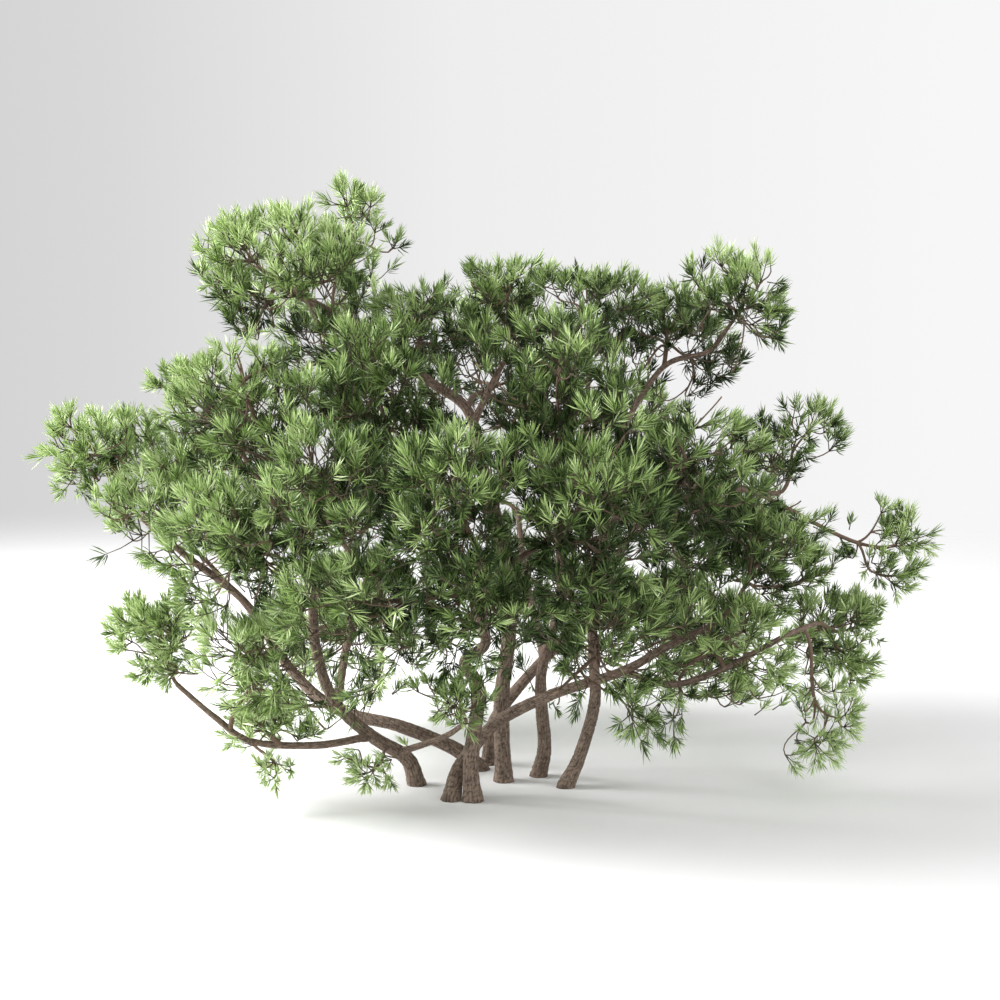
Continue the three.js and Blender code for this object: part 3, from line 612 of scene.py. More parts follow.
# %% Wood of one tuft
class TuftWood:
    """Nodes of a tuft's wood, and the tests that keep new wood apart from the rest."""

    def __init__(self, tuft):
        self.tuft = tuft
        self.draw = Draw(101 + 37 * tuft.index)
        self.offsets = np.array([self.draw() for _ in range(3)])
        self.own_wood = Wood()
        self.points, self.tangents, self.parents, self.lengths, self.sprays = [], [], [], [], []
        self.hubs, self.twigs, self.shoots = [], [], []
        points = tuft.points
        for i, point in enumerate(points):
            chord = points[min(i + 1, TUFT_STEM_SPANS)] - points[max(i - 1, 0)]
            self.add_node(point, i - 1, unit(chord))

    def add_node(self, point, parent, tangent):
        """A node of the wood, with its way along the wood from the start of the tuft's stem."""
        way = 0 if parent < 0 else np.linalg.norm(point - self.points[parent])
        self.lengths.append(way + (0 if parent < 0 else self.lengths[parent]))
        self.points.append(point)
        self.parents.append(parent)
        self.tangents.append(tangent)
        self.sprays.append(0)

    def is_inside(self, point, margin):
        """True when a point keeps the margin to every wall of the tuft's own space."""
        return bool((self.tuft.normals @ point + margin <= self.tuft.reach).all())

    def is_apart(self, p, q, margin):
        """True when p q keeps clear of all limbs and of the stems of other tufts."""
        name = self.tuft.name
        return (limb_wood.is_clear(p, q, margin, name)
            and stem_wood.is_clear(p, q, margin, name))


# %% Shoots of one tuft
BLADE_LENGTH = 118       # a shoot that leaves the side of a twig
BLADE_WIDTH = 20         # what it keeps clear of limbs by
LENGTHS = (0.85, 1.02)   # shoots get this much of their length, by chance,
SHORTER = (1, 0.8, 0.6)  # and one with no room is tried shorter
LOWEST_TIP = 25          # above the ground
OWN_ROOM = 4             # from a shoot to other wood of its tuft
CLAIMED = (7, 3)         # radius that the inner and the outer half of a shoot keep free


class TuftShoots(TuftWood):
    """Shoots that leave a point of the wood, each where it has room."""

    def shoot(self, start, ahead, frame, lean, angle, reach, width):
        """Tip of a shoot that leans from the direction ahead: the start plus the reach times
        (ahead cos lean + side sin lean), cut shorter where it has no room, or None."""
        across, other = frame
        side = across * math.cos(angle) + other * math.sin(angle)
        aim = ahead * math.cos(lean) + side * math.sin(lean)
        for cut in SHORTER:
            tip = start + aim * reach * cut
            half = start + aim * reach * cut / 2
            if (tip[2] > LOWEST_TIP and self.is_inside(tip, 0)
                    and self.is_apart(start, half, width) and self.is_apart(half, tip, 0.6 * width)
                    and self.own_wood.is_clear(start, half, OWN_ROOM)
                    and self.own_wood.is_clear(half, tip, OWN_ROOM)):
                return tip
        return None

    def shoots_round(self, start, end, ahead, across, sides, opening):
        """Tips of the shoots that leave the sides of a span, one for each side."""
        middle = (start + end) / 2
        frame = frame_at(ahead, across)
        is_open = self.is_inside(start, 6) and self.is_inside(end, 6)
        tips = []
        for k in range(sides):
            angle = (2 * k + 1) * math.pi / sides + self.draw(-0.25, 0.25)
            lean = opening + self.draw(-0.15, 0.15)
            reach = BLADE_LENGTH * self.tuft.size * self.draw(*LENGTHS)
            tips.append(self.shoot(middle, ahead, frame, lean, angle, reach, BLADE_WIDTH)
                if is_open else None)
        return tips

    def claim(self, start, tips):
        """Keeps later wood of the tuft out of the shoots that leave a point."""
        for tip in tips:
            if tip is not None:
                half = (start + tip) / 2
                self.own_wood.add(start, half, CLAIMED[0])
                self.own_wood.add(half, tip, CLAIMED[1])

    def add_shoots(self, start, tips, is_fine):
        """Keeps the shoots that have a tip, with the round in which they grew."""
        for tip in tips:
            if tip is not None:
                self.shoots.append((start, tip, is_fine))


# %% Twigs of one tuft
# Steps of the even spread, one for each of three numbers: powers of the root of x^3 + x^4 = 1.
SPREAD = np.array([0.8191725134, 0.6710436067, 0.5497004779])


class TuftTwigs(TuftShoots):
    """Places for sprays, and the twigs that reach them."""

    def place_hub(self, k, length, swollen=1.0):
        """Place and aim of the hub that comes k-th in an even spread over the tuft, and the
        middle of its shoots."""
        tuft = self.tuft
        u, v, w = (self.offsets + k * SPREAD) % 1
        rise = 1 - 2 * v
        flat = math.sqrt(1 - rise * rise)
        turn = 2 * math.pi * w
        around = np.array([flat * math.cos(turn), flat * math.sin(turn), rise])
        around = outward_from(tuft.heart) if k == 1 else around * (0.08 + 0.92 * u) ** 0.4
        return self.hub_for(tuft.heart + around * swollen * (tuft.radii - 0.3 * length), length)

    def hub_for(self, target, length):
        """Place and aim of the hub whose shoots have their middle near the target, with it: it
        aims away from the middle of the crown and of the tuft, a bit up, and a bit by chance."""
        draw = self.draw
        jitter = np.array([draw(-1, 1), draw(-1, 1), draw(-1, 1)])
        aim = 0.6 * unit(target - CROWN_HEART) + 0.45 * unit(target - self.tuft.heart)
        aim = unit(aim + 0.5 * UP + 0.3 * jitter)
        return target - aim * 0.42 * length, aim, target

    def best_node(self, hub, least):
        """Number of the node from which a twig reaches the hub best, or -1: the shortest way,
        dearer where it turns and where the node itself is far along the wood."""
        points = np.array(self.points)
        ways = hub - points
        distances = np.linalg.norm(ways, axis=1)
        turns = 1 - (np.array(self.tangents) * ways).sum(1) / distances
        prices = distances * (1 + 0.55 * turns) + 0.45 * np.array(self.lengths)
        walls = points @ self.tuft.normals.T + 8 <= self.tuft.reach
        is_fit = (np.arange(len(points)) >= 2) & (distances >= least) & walls.all(1)
        prices = np.where(is_fit, prices, np.inf)
        return int(np.argmin(prices)) if is_fit.any() else -1

    def twig_to(self, root, hub, aim):
        """Direction in which a spray looks, and the four points that pull its twig."""
        start = self.points[root]
        length = np.linalg.norm(hub - start)
        way = unit(hub - start)
        direction = unit(aim + 0.6 * way)
        leave = unit(self.tangents[root] + way)
        first = start + 0.35 * length * leave
        return direction, (start, first, hub - 0.38 * length * direction, hub)

    def add_twig(self, root, path, pull):
        """Adds a twig's two nodes, and one spray to all the wood that carries it."""
        for i in (1, 2):
            parent = root if i == 1 else len(self.points) - 1
            self.add_node(path[i], parent, unit(path[min(i + 1, 2)] - path[i - 1]))
        last = len(self.points) - 1
        self.twigs.append((pull, root, last - 1, last))
        node = last
        while node >= 0:
            self.sprays[node] += 1
            node = self.parents[node]


# %% Sizes of sprays
SHOOT_LENGTH = 142       # one shoot with its needles
HUB_RADIUS = 26          # of the place at a twig's end where the shoots start
HUB_LENGTH = 36
HUBS_APART = 48
LOWEST_HUB = 40          # above the ground
LEAST_TWIG = 55
TWIG_STEPS = np.array([0, 0.45, 1])
PLACES = 20              # places tried for each spray that a tuft should have

# %% Sizes of the finer sprays
FINER = 0.8              # sprays of the second round are smaller,
CLOSER = 0.6             # stand closer,
SHORTER_TWIG = 0.5       # and have shorter twigs
FURTHER = 1.5            # they reach further out than the first ones, but only to fill the room
LIT_ROOM = 29            # from the middle of a new spray to the shoots that are there
FINE_PLACES = 6          # times as many places are tried as in the first round
MORE = (7.0, 5.0, 3.8)   # so many for each one of the first round: in the front tufts, which the
FRONT, BACK = -250, 250  # picture shows dense, in the middle and in the back
MORE_IN_OPEN_TUFTS = 0.8 # small tufts at the ends of boughs stay open
OPEN_TUFTS = {"far_right", "hanging_right", "right_shoulder", "low_front_sprays", "low_left_tip",
    "low_middle_tip", "top_left_tip"}


# %% Sprays of one tuft
class Growth(TuftTwigs):
    """Sprays of both rounds: those of the solids, and the finer ones."""

    def has_way(self, path, direction, radius):
        """True when a spray of the solids has room: its twig doesn't turn back, its ends lie
        inside the tuft's own space, and every piece of it keeps clear of the wood that is there."""
        start, bend, hub = path
        crest = hub + direction * HUB_LENGTH * self.tuft.size
        waist = (bend + hub) / 2
        return (unit(hub - bend) @ direction > 0.6
            and self.is_inside(crest, radius) and self.is_inside(bend, 5)
            and self.is_apart(start, bend, 5) and self.is_apart(bend, waist, 0.7 * radius)
            and self.is_apart(waist, hub, 1.1 * radius)
            and self.is_apart(hub, crest, 1.2 * radius)
            and self.own_wood.is_clear(hub, crest, 0.8 * radius)
            and self.own_wood.is_clear(bend, hub, 3))

    def spray_tips(self, hub, direction, frame):
        """Tips of the seven shoots of a spray: one straight ahead and six round it, which lean
        1.25 and 0.75 radians by turns."""
        size, tips = self.tuft.size, []
        for i in range(7):
            opening = 1.25 if i % 2 else 0.75
            lean = 0 if i == 0 else opening + self.draw(-0.2, 0.2)
            angle = i * math.pi / 3 + self.draw(-0.25, 0.25)
            length = SHOOT_LENGTH * size * self.draw(*LENGTHS)
            tips.append(self.shoot(hub, direction, frame, lean, angle, length, HUB_RADIUS * size))
        return tips

    def grow_spray(self, k):
        """A spray of the first round, with exactly the tests and draws of the solids."""
        size = self.tuft.size
        radius = HUB_RADIUS * size
        hub, aim, _ = self.place_hub(k, SHOOT_LENGTH * size)
        if hub[2] < LOWEST_HUB or not self.is_inside(hub, radius):
            return
        if any(np.linalg.norm(hub - other) < HUBS_APART * size for other in self.hubs):
            return
        root = self.best_node(hub, LEAST_TWIG * size)
        if root < 0:
            return
        direction, pull = self.twig_to(root, hub, aim)
        path = pulled(*pull, TWIG_STEPS)
        if not self.has_way(path, direction, radius):
            return
        _, across, other = frames_along(path, last=direction)
        tips = self.spray_tips(hub, direction, (across[2], other[2]))
        if sum(tip is not None for tip in tips) < 5:
            return
        self.claim(hub, tips)
        blades = self.shoots_round(path[1], hub, direction, across[2], 3, 1.65)
        self.claim((path[1] + hub) / 2, blades)
        for i in (1, 2):
            self.own_wood.add(path[i - 1], path[i], 3)
        self.hubs.append(hub)
        self.add_twig(root, path, pull)
        self.add_shoots(hub, tips, False)
        self.add_shoots(pulled(*pull, 0.73), blades, False)

    def has_light(self, hub, target, size):
        """True where the crown has room for a fine spray: apart from the hubs and the shoots
        that are there, and in a tuft or between two."""
        if any(np.linalg.norm(hub - other) < HUBS_APART * size * CLOSER for other in self.hubs):
            return False
        tips = np.array([tip for _, tip, _ in self.shoots])
        return (np.linalg.norm(tips - target, axis=1).min() > LIT_ROOM * size
            and is_in_crown(target, self.tuft))

    def fine_tips(self, hub, direction, side, size):
        """Tips of the five shoots of a fine spray: one straight ahead and four round it, each
        only where it keeps within 12 mm of the tuft's own space."""
        tips = []
        for i in range(5):
            lean = 0 if i == 0 else self.draw(0.6, 1.15)
            angle = i * math.pi / 2 + self.draw(-0.4, 0.4)
            length = SHOOT_LENGTH * size * self.draw(0.7, 1.0)
            aim = side[0] * math.cos(angle) + side[1] * math.sin(angle)
            tip = hub + (direction * math.cos(lean) + aim * math.sin(lean)) * length
            is_free = tip[2] > LOWEST_TIP and self.is_inside(tip, -12)
            tips.append(tip if is_free and self.is_apart(hub, tip, 10) else None)
        return tips

    def grow_fine_spray(self, k=None, seen=None):
        """A smaller spray on a shorter twig, at the k-th place of the spread if there is light,
        or at a place that was seen; only limbs and stems are kept clear. True if it grew."""
        size = self.tuft.size * FINER
        hub, aim, target = (self.place_hub(k, SHOOT_LENGTH * size, FURTHER) if seen is None
            else self.hub_for(seen, SHOOT_LENGTH * size))
        if hub[2] < LOWEST_HUB or not self.is_inside(hub, 8):
            return False
        if seen is None and not self.has_light(hub, target, size):
            return False
        root = self.best_node(hub, LEAST_TWIG * size * SHORTER_TWIG)
        if root < 0:
            return False
        direction, pull = self.twig_to(root, hub, aim)
        path = pulled(*pull, TWIG_STEPS)
        if not (self.is_apart(path[0], path[1], 2) and self.is_apart(path[1], hub, 4)):
            return False
        _, across, other = frames_along(path, last=direction)
        tips = self.fine_tips(hub, direction, (across[2], other[2]), size)
        if sum(tip is not None for tip in tips) < 2:
            return False
        self.hubs.append(hub)
        self.add_twig(root, path, pull)
        self.add_shoots(hub, tips, True)
        return True

    def fine_sprays(self):
        """How many fine sprays the even spread should add for each spray of the first round."""
        if self.tuft.name in OPEN_TUFTS:
            return MORE_IN_OPEN_TUFTS
        depth = self.tuft.heart[1]
        return MORE[0 if depth < FRONT else 2 if depth > BACK else 1]

    def grow(self):
        """All growth of the tuft: sprays of the solids, shoots round the stem's end, sprays that
        the picture shows, and fine sprays until there are enough or all places are tried."""
        wanted = self.tuft.wanted
        k = 0
        while k < PLACES * wanted and len(self.hubs) < wanted:
            k += 1
            self.grow_spray(k)
        self.count = len(self.hubs)
        _, across, _ = frames_along(self.tuft.points)
        for i in (2, 3):
            start, end = self.tuft.points[i], self.tuft.points[i + 1]
            tips = self.shoots_round(start, end, unit(end - start), across[i], 4, 0.95)
            self.claim((start + end) / 2, tips)
            self.add_shoots(pulled(*self.tuft.pull, (i + 0.5) / TUFT_STEM_SPANS), tips, False)
        places = needed.get(self.tuft.index, [])
        self.missed = len(places) - sum(self.grow_fine_spray(seen=place) for place in places)
        enough = len(self.hubs) + math.ceil(self.fine_sprays() * self.count)
        last = k + FINE_PLACES * PLACES * wanted
        while k < last and len(self.hubs) < enough:
            k += 1
            self.grow_fine_spray(k)
        return self


# %% All tufts grow
grown = [Growth(tuft).grow() for tuft in tufts]
print("sprays of the solids:", sum(one.count for one in grown),
    "- with the finer ones:", sum(len(one.hubs) for one in grown),
    "- shoots:", sum(len(one.shoots) for one in grown),
    "- seen places without room:", sum(one.missed for one in grown))

# %% [markdown]
# ## From arrays to meshes
# There are many thousands of needles, so no shape is made by hand or by an operator. Each kind is
# worked out as whole arrays of corners, and one helper puts an array of corners and an array of
# faces into a mesh. The numbers so far are millimetres, and the helper turns them into metres.

# %% Meshes
METRE = 0.001
FOLIAGE_NODES = [f"foliage_{tuft.name}" for tuft in tufts]


def mesh_piece(name, corners, faces, material, smooth, stands_for):
    """A piece of the plant from corners in millimetres and faces that all have as many corners."""
    corners = corners.reshape(-1, 3) * METRE
    sides = faces.shape[1]
    mesh = bpy.data.meshes.new(name)
    mesh.vertices.add(len(corners))
    mesh.vertices.foreach_set("co", corners.astype(np.float32).ravel())
    mesh.loops.add(faces.size)
    mesh.loops.foreach_set("vertex_index", faces.astype(np.int32).ravel())
    mesh.polygons.add(len(faces))
    mesh.polygons.foreach_set("loop_start", np.arange(len(faces), dtype=np.int32) * sides)
    mesh.polygons.foreach_set("use_smooth", np.full(len(faces), smooth))
    mesh.update(calc_edges=True)
    mesh.materials.append(material)
    piece = bpy.data.objects.new(name, mesh)
    bpy.context.scene.collection.objects.link(piece)
    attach(piece, "root")
    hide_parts(*stands_for)
    return piece


def tube_faces(count, rings, sides):
    """Triangles of tubes with closed ends. Each tube has its rings of corners one after another,
    then a pole under the first ring and one over the last."""
    ring, side = np.meshgrid(np.arange(rings - 1), np.arange(sides), indexing="ij")
    a = (ring * sides + side).ravel()
    b = (ring * sides + (side + 1) % sides).ravel()
    walls = np.concatenate([np.stack([a, b, b + sides], 1), np.stack([a, b + sides, a + sides], 1)])
    k = np.arange(sides)
    after = (k + 1) % sides
    last = (rings - 1) * sides
    low, high = np.full(sides, rings * sides), np.full(sides, rings * sides + 1)
    ends = np.concatenate([np.stack([after, k, low], 1),
        np.stack([last + k, last + after, high], 1)])
    one = np.concatenate([walls, ends])
    steps = np.arange(count)[:, None, None] * (rings * sides + 2)
    return (one[None] + steps).reshape(-1, 3)


def tubes(paths, radii, sides):
    """Corners of tubes along paths of the shape (count, rings, 3): round each point a circle of
    its radius, and at both ends a pole that stands out by half of the last radius."""
    tangents, across, other = frames_along(paths)
    angle = np.arange(sides) * 2 * np.pi / sides
    spoke = (across[..., None, :] * np.cos(angle)[:, None]
        + other[..., None, :] * np.sin(angle)[:, None])
    rings = paths[..., None, :] + spoke * radii[..., None, None]
    low = paths[:, :1] - tangents[:, :1] * radii[:, :1, None] / 2
    high = paths[:, -1:] + tangents[:, -1:] * radii[:, -1:, None] / 2
    return np.concatenate([rings.reshape(len(paths), -1, 3), low, high], 1)


# %% [markdown]
# ## Materials in words of the shader
# A finish is a small graph of nodes. Written as sums and products it stays readable, so one class
# wraps a socket and gives it the usual operators, and one method makes every other node.

# %% Shader maths
class Term:
    """A socket of a finish that can stand in sums and products."""

    def __init__(self, finish, socket):
        self.finish, self.socket = finish, socket

    def maths(self, operation, a, b):
        """A Math node on two terms or numbers."""
        return self.finish.node("ShaderNodeMath", {"operation": operation}, {0: a, 1: b})

    def __add__(self, other):
        return self.maths("ADD", self, other)

    def __radd__(self, other):
        return self.maths("ADD", other, self)

    def __mul__(self, other):
        return self.maths("MULTIPLY", self, other)

    def __rmul__(self, other):
        return self.maths("MULTIPLY", other, self)


# %% Finishes
class Finish:
    """A material whose nodes are made one call at a time."""

    def __init__(self, name, roughness):
        self.material = bpy.data.materials.new(name)
        self.material.use_nodes = True
        self.tree = self.material.node_tree
        self.shader = self.tree.nodes["Principled BSDF"]
        self.shader.inputs["Roughness"].default_value = roughness

    def put(self, socket, value):
        """Links a term to a socket, or sets the socket to a plain value."""
        if isinstance(value, Term):
            self.tree.links.new(value.socket, socket)
        elif value is not None:
            socket.default_value = value

    def node(self, kind, settings=None, inputs=None, output=0):
        """A node of any kind: its settings first, then its sockets."""
        made = self.tree.nodes.new(kind)
        for name, value in (settings or {}).items():
            setattr(made, name, value)
        for key, value in (inputs or {}).items():
            self.put(made.inputs[key], value)
        return Term(self, made.outputs[output])

    def mix(self, factor, a, b):
        """Colour that goes from a to b with the factor."""
        colours = [value if isinstance(value, Term) else (*value, 1) for value in (a, b)]
        return self.node("ShaderNodeMix", {"data_type": "RGBA"},
            {0: factor, 6: colours[0], 7: colours[1]}, 2)

    def place(self):
        """Place of a point on the plant, in metres."""
        return self.node("ShaderNodeTexCoord", output=3)

    def ranged(self, value, start, end, low, high, **settings):
        """A value that goes evenly from low to high while another goes from start to end."""
        return self.node("ShaderNodeMapRange", settings,
            {0: value, 1: start, 2: end, 3: low, 4: high})

    def noise(self, place, scale, detail=2.0, roughness=0.5):
        """Smooth noise from 0 to 1, with so many waves to the metre."""
        return self.node("ShaderNodeTexNoise", {},
            {"Vector": place, "Scale": scale, "Detail": detail, "Roughness": roughness})

    def shine(self, **values):
        """Links or values for the shader's own sockets, named with _ for the spaces."""
        for name, value in values.items():
            self.put(self.shader.inputs[name.replace("_", " ")], value)


# %% [markdown]
# ## Bark
# The stems of a mountain pine have thin grey-brown plates with dark fissures between them, and
# towards the crown the bark is smoother and redder. A texture alone would leave the outline of a
# stem smooth, so the plates are part of the mesh, and only the finest grain is a bump.

# %% Height of the bark
def scatter(i, j, seed):
    """A number from 0 to 1 for each whole pair i, j: what follows the point in a large sine."""
    return np.abs(np.sin(i * 127.1 + j * 311.7 + seed * 74.7) * 43758.5453) % 1


def soften(x):
    """From 0 to 1 and flat at both ends: x^2 (3 - 2x)."""
    x = np.clip(x, 0, 1)
    return x * x * (3 - 2 * x)


def ripple(u, v, around, seed):
    """Smooth noise from -1 to 1 that repeats after so many cells around: the scattered numbers
    of the four corners of a cell, blended by softened shares."""
    i, j = np.floor(u), np.floor(v)
    s, t = soften(u - i), soften(v - j)
    a, b = (scatter((i + k) % around, j, seed) for k in (0, 1))
    c, d = (scatter((i + k) % around, j + 1, seed) for k in (0, 1))
    return 2 * ((a * (1 - s) + b * s) * (1 - t) + (c * (1 - s) + d * s) * t) - 1


def plates(u, v, around, seed):
    """Plates as the cells round scattered points: how far a place lies from the edge of its
    plate (distance to the second nearest point less that to the nearest), and the plate's own
    scattered number."""
    i, j = np.floor(u), np.floor(v)
    near, second = np.full(u.shape, 9.0), np.full(u.shape, 9.0)
    own = np.zeros(u.shape)
    for di in (-1, 0, 1):
        for dj in (-1, 0, 1):
            ci, cj = (i + di) % around, j + dj
            du = i + di + 0.15 + 0.7 * scatter(ci, cj, seed) - u
            dv = cj + 0.15 + 0.7 * scatter(ci, cj, seed + 1) - v
            far = np.hypot(du, dv)
            is_nearest = far < near
            second = np.where(is_nearest, near, np.minimum(second, far))
            own = np.where(is_nearest, scatter(ci, cj, seed + 2), own)
            near = np.where(is_nearest, far, near)
    return second - near, own


# %% Finish of the bark
def bark_finish(name, redness):
    """Grey-brown plates that turn redder with height, dark in the fissures, with a fine grain."""
    bark = Finish(name, 0.9)
    place = bark.node("ShaderNodeAttribute", {"attribute_name": "bark"}, output=1)
    depth = bark.node("ShaderNodeAttribute", {"attribute_name": "plate"}, output=2)
    height = bark.node("ShaderNodeSeparateXYZ", {}, {0: bark.place()}, 2)
    stretched = bark.node("ShaderNodeMapping", {}, {"Vector": place, "Scale": (1, 1, 0.2)})
    grain = bark.noise(stretched, 230, 3, 0.6)
    patch = bark.noise(place, 22, 2)
    red = bark.ranged(height, 0.15, 0.75, redness, 0.85)
    plate = bark.mix(red, (0.215, 0.152, 0.112), (0.25, 0.15, 0.108))
    lit = bark.mix(patch, plate, (0.36, 0.275, 0.21))
    coarse = bark.ranged(grain, 0.36, 0.66, 0.0, 0.7)
    grained = bark.mix(coarse, lit, (0.07, 0.047, 0.035))
    colour = bark.mix(depth, (0.058, 0.04, 0.03), grained)
    bump = bark.node("ShaderNodeBump", {}, {"Strength": 0.5, "Distance": 0.002, "Height": grain})
    bark.shine(Base_Color=colour, Roughness=0.78 + 0.18 * grain, Normal=bump)
    return bark.material


bark = {"stem": bark_finish("bark of the stems", 0.0),
    "bough": bark_finish("bark of the boughs", 0.35)}


# %% Rings of a limb
RING_STEP = 3.2
LINE_POINTS = 400        # where a limb's line is measured
FORK_SWELLING = 0.3      # of a bough's radius, where it leaves its stem
FORK_WIDTH = 22


def rings_of(limb):
    """Middles and radii of a limb's rings, evenly spread over its length, with their ways along
    it. A bough is wider by 0.3 exp(-(way past the stem's thin end / 22)^2) where it forks off,
    and the last rings shrink with the root of the way that is left, so the tip is round."""
    t = np.linspace(0, 1, LINE_POINTS)
    line, _ = limb_at(limb, t)
    way = np.concatenate([[0], np.cumsum(np.linalg.norm(np.diff(line, axis=0), axis=1))])
    along = np.linspace(0, way[-1], int(way[-1] / RING_STEP) + 1)
    points, radii = limb_at(limb, np.interp(along, way, t))
    if limb.parent:
        past = (along - limbs[limb.parent].tip) / FORK_WIDTH
        radii = radii * (1 + FORK_SWELLING * np.exp(-past ** 2))
    radii = radii * np.sqrt(np.clip((way[-1] - along + 2) / (0.6 * radii), 0.15, 1))
    return points, radii, along


# %% Relief of the bark
PLATE_LENGTH = 14.0
PLATES_AROUND = 16
ROUGH_AROUND = 36        # cells of the roughness before it repeats,
SWELLING_AROUND = 3      # and of the swellings
FISSURE = 0.28           # its width, as a share of a plate
BARK_SHARE = 0.085       # depth of the fissures: this share of the radius
BARK_LEAST = 0.25        # and this much more


def relief_of(radii, along, share, seed):
    """Radii round every ring, and the plates' height from 0 in a fissure to 1. The radius falls
    in the fissures, each plate is a little higher or lower than the next and rough, and slow
    swellings of a twentieth go over the limb. Roughness and swellings don't close on themselves
    round the limb: they leave a small step along it, which reads as one more fissure."""
    u = np.broadcast_to(share * PLATES_AROUND, (len(along), len(share)))
    v = np.broadcast_to((along / PLATE_LENGTH)[:, None], (len(along), len(share)))
    wave = 0.35 * ripple(u * 2, v * 3, 2 * PLATES_AROUND, seed + 5)
    edge, own = plates(u, v + wave, PLATES_AROUND, seed)
    plate = soften(edge / FISSURE)
    depth = BARK_SHARE * radii[:, None] + BARK_LEAST
    rough = 0.25 * ripple(u * 4, v * 8, ROUGH_AROUND, seed)
    relief = depth * (plate - 1 + 0.5 * (own - 0.5) * plate + rough)
    swelling = 0.05 * ripple(u / 3, v / 5, SWELLING_AROUND, seed + 9)
    return radii[:, None] * (1 + swelling) + relief, plate


# %% Bark of every limb
BARK_SIDES = {"stem": 40, "bough": 32}
APART = 1000             # between the straight limbs on which the finish is laid out


def bark_of(limb, sides, seed):
    """Corners of a limb's bark: round each middle a ring with its relief, which ends at the
    ground where it would dip below, and a pole at both ends. Also the same rings on a straight
    limb, as places for the finish, the plates' height, and the number of rings."""
    points, radii, along = rings_of(limb)
    _, across, other = frames_along(points, None if limb.parent else UP)
    share = np.arange(sides) / sides
    ring, plate = relief_of(radii, along, share, seed)
    angle = share * 2 * np.pi
    spoke = across[:, None] * np.cos(angle)[:, None] + other[:, None] * np.sin(angle)[:, None]
    corners = points[:, None] + spoke * ring[..., None]
    corners[..., 2] = np.maximum(corners[..., 2], 0.02 * along[:, None])
    ends = np.stack([points[0], points[-1] + unit(points[-1] - points[-2]) * 0.3])
    straight = np.stack([radii[:, None] * np.cos(angle), radii[:, None] * np.sin(angle),
        np.broadcast_to(along[:, None], plate.shape)], -1).reshape(-1, 3)
    straight = np.vstack([straight, [0, 0, 0], [0, 0, along[-1]]]) + [0, 0, APART * seed]
    corners = np.vstack([corners.reshape(-1, 3), ends])
    return corners, straight, np.append(plate.ravel(), [0, 0]), len(along)


triangles = 0
for seed, (name, limb) in enumerate(limbs.items()):
    kind = "bough" if limb.parent else "stem"
    sides = BARK_SIDES[kind]
    corners, straight, plate, rings = bark_of(limb, sides, seed)
    faces = tube_faces(1, rings, sides)
    piece = mesh_piece(f"bark_{name}", corners, faces, bark[kind], True, [name])
    places = piece.data.attributes.new("bark", "FLOAT_VECTOR", "POINT")
    places.data.foreach_set("vector", (straight * METRE).astype(np.float32).ravel())
    heights = piece.data.attributes.new("plate", "FLOAT", "POINT")
    heights.data.foreach_set("value", plate.astype(np.float32))
    triangles += len(faces)
print("triangles of bark:", triangles)

# %% [markdown]
# ## Twigs
# A twig thickens with the number of sprays that it carries, as the wood of a tree does. Each one
# follows the curve on which the rule placed it. The twigs are thin and there are more than a
# thousand, so they are one mesh, and the stems of the tufts another. A curve object for each could
# give the same tubes, but would be slow with so many.

# %% Radii of the twigs
TWIG_RADIUS = 1.75
PIPE_POWER = 0.42
THICKEST_TWIG = 0.8      # of the limb that carries it


def twig_finish():
    """Dark grey-brown bark, redder in patches."""
    twig = Finish("bark of the twigs", 0.85)
    patch = twig.noise(twig.place(), 60, 3)
    grain = twig.noise(twig.place(), 420, 2)
    colour = twig.mix(patch, (0.115, 0.07, 0.047), (0.2, 0.135, 0.095))
    bump = twig.node("ShaderNodeBump", {}, {"Strength": 0.4, "Distance": 0.001, "Height": grain})
    twig.shine(Base_Color=colour, Roughness=0.7 + 0.25 * grain, Normal=bump)
    return twig.material


def wood_radius(one, node):
    """Radius of the wood at a node: 1.75 times the number of sprays to the power 0.42, at most
    0.8 of the limb's radius at the stem's start."""
    radius = TWIG_RADIUS * max(one.sprays[node], 1) ** PIPE_POWER
    return min(radius, THICKEST_TWIG * one.tuft.start.radius)


# %% Stems of tufts and twigs
STEM_RINGS, STEM_SIDES = 15, 8
TWIG_RINGS, TWIG_SIDES = 8, 6
INTO_LIMB = 6            # how far a stem starts inside the end of a limb that it goes on from

stem_paths, stem_radii, twig_paths, twig_radii = [], [], [], []
for one in grown:
    share = np.linspace(0, 1, STEM_RINGS)
    path = pulled(*one.tuft.pull, share)
    path[0] -= one.tuft.start.direction * (INTO_LIMB if one.tuft.start.is_tip else 0)
    stem_paths.append(path)
    nodes = range(TUFT_STEM_SPANS + 1)
    stem_radii.append(np.interp(share, np.linspace(0, 1, len(nodes)),
        [wood_radius(one, node) for node in nodes]))
    for pull, root, bend, hub in one.twigs:
        share = np.linspace(0, 1, TWIG_RINGS)
        twig_paths.append(pulled(*pull, share))
        base = min(0.9 * wood_radius(one, root), 1.3 * wood_radius(one, bend))
        twig_radii.append(np.interp(share, TWIG_STEPS,
            [base, wood_radius(one, bend), wood_radius(one, hub)]))
twig_bark = twig_finish()
stem_corners = tubes(np.array(stem_paths), np.array(stem_radii), STEM_SIDES)
twig_corners = tubes(np.array(twig_paths), np.array(twig_radii), TWIG_SIDES)
stem_faces = tube_faces(len(stem_paths), STEM_RINGS, STEM_SIDES)
twig_faces = tube_faces(len(twig_paths), TWIG_RINGS, TWIG_SIDES)
mesh_piece("tuft_stems", stem_corners, stem_faces, twig_bark, True, FOLIAGE_NODES)
mesh_piece("twigs", twig_corners, twig_faces, twig_bark, True, FOLIAGE_NODES)
print("triangles of stems and twigs:", len(stem_faces), len(twig_faces))

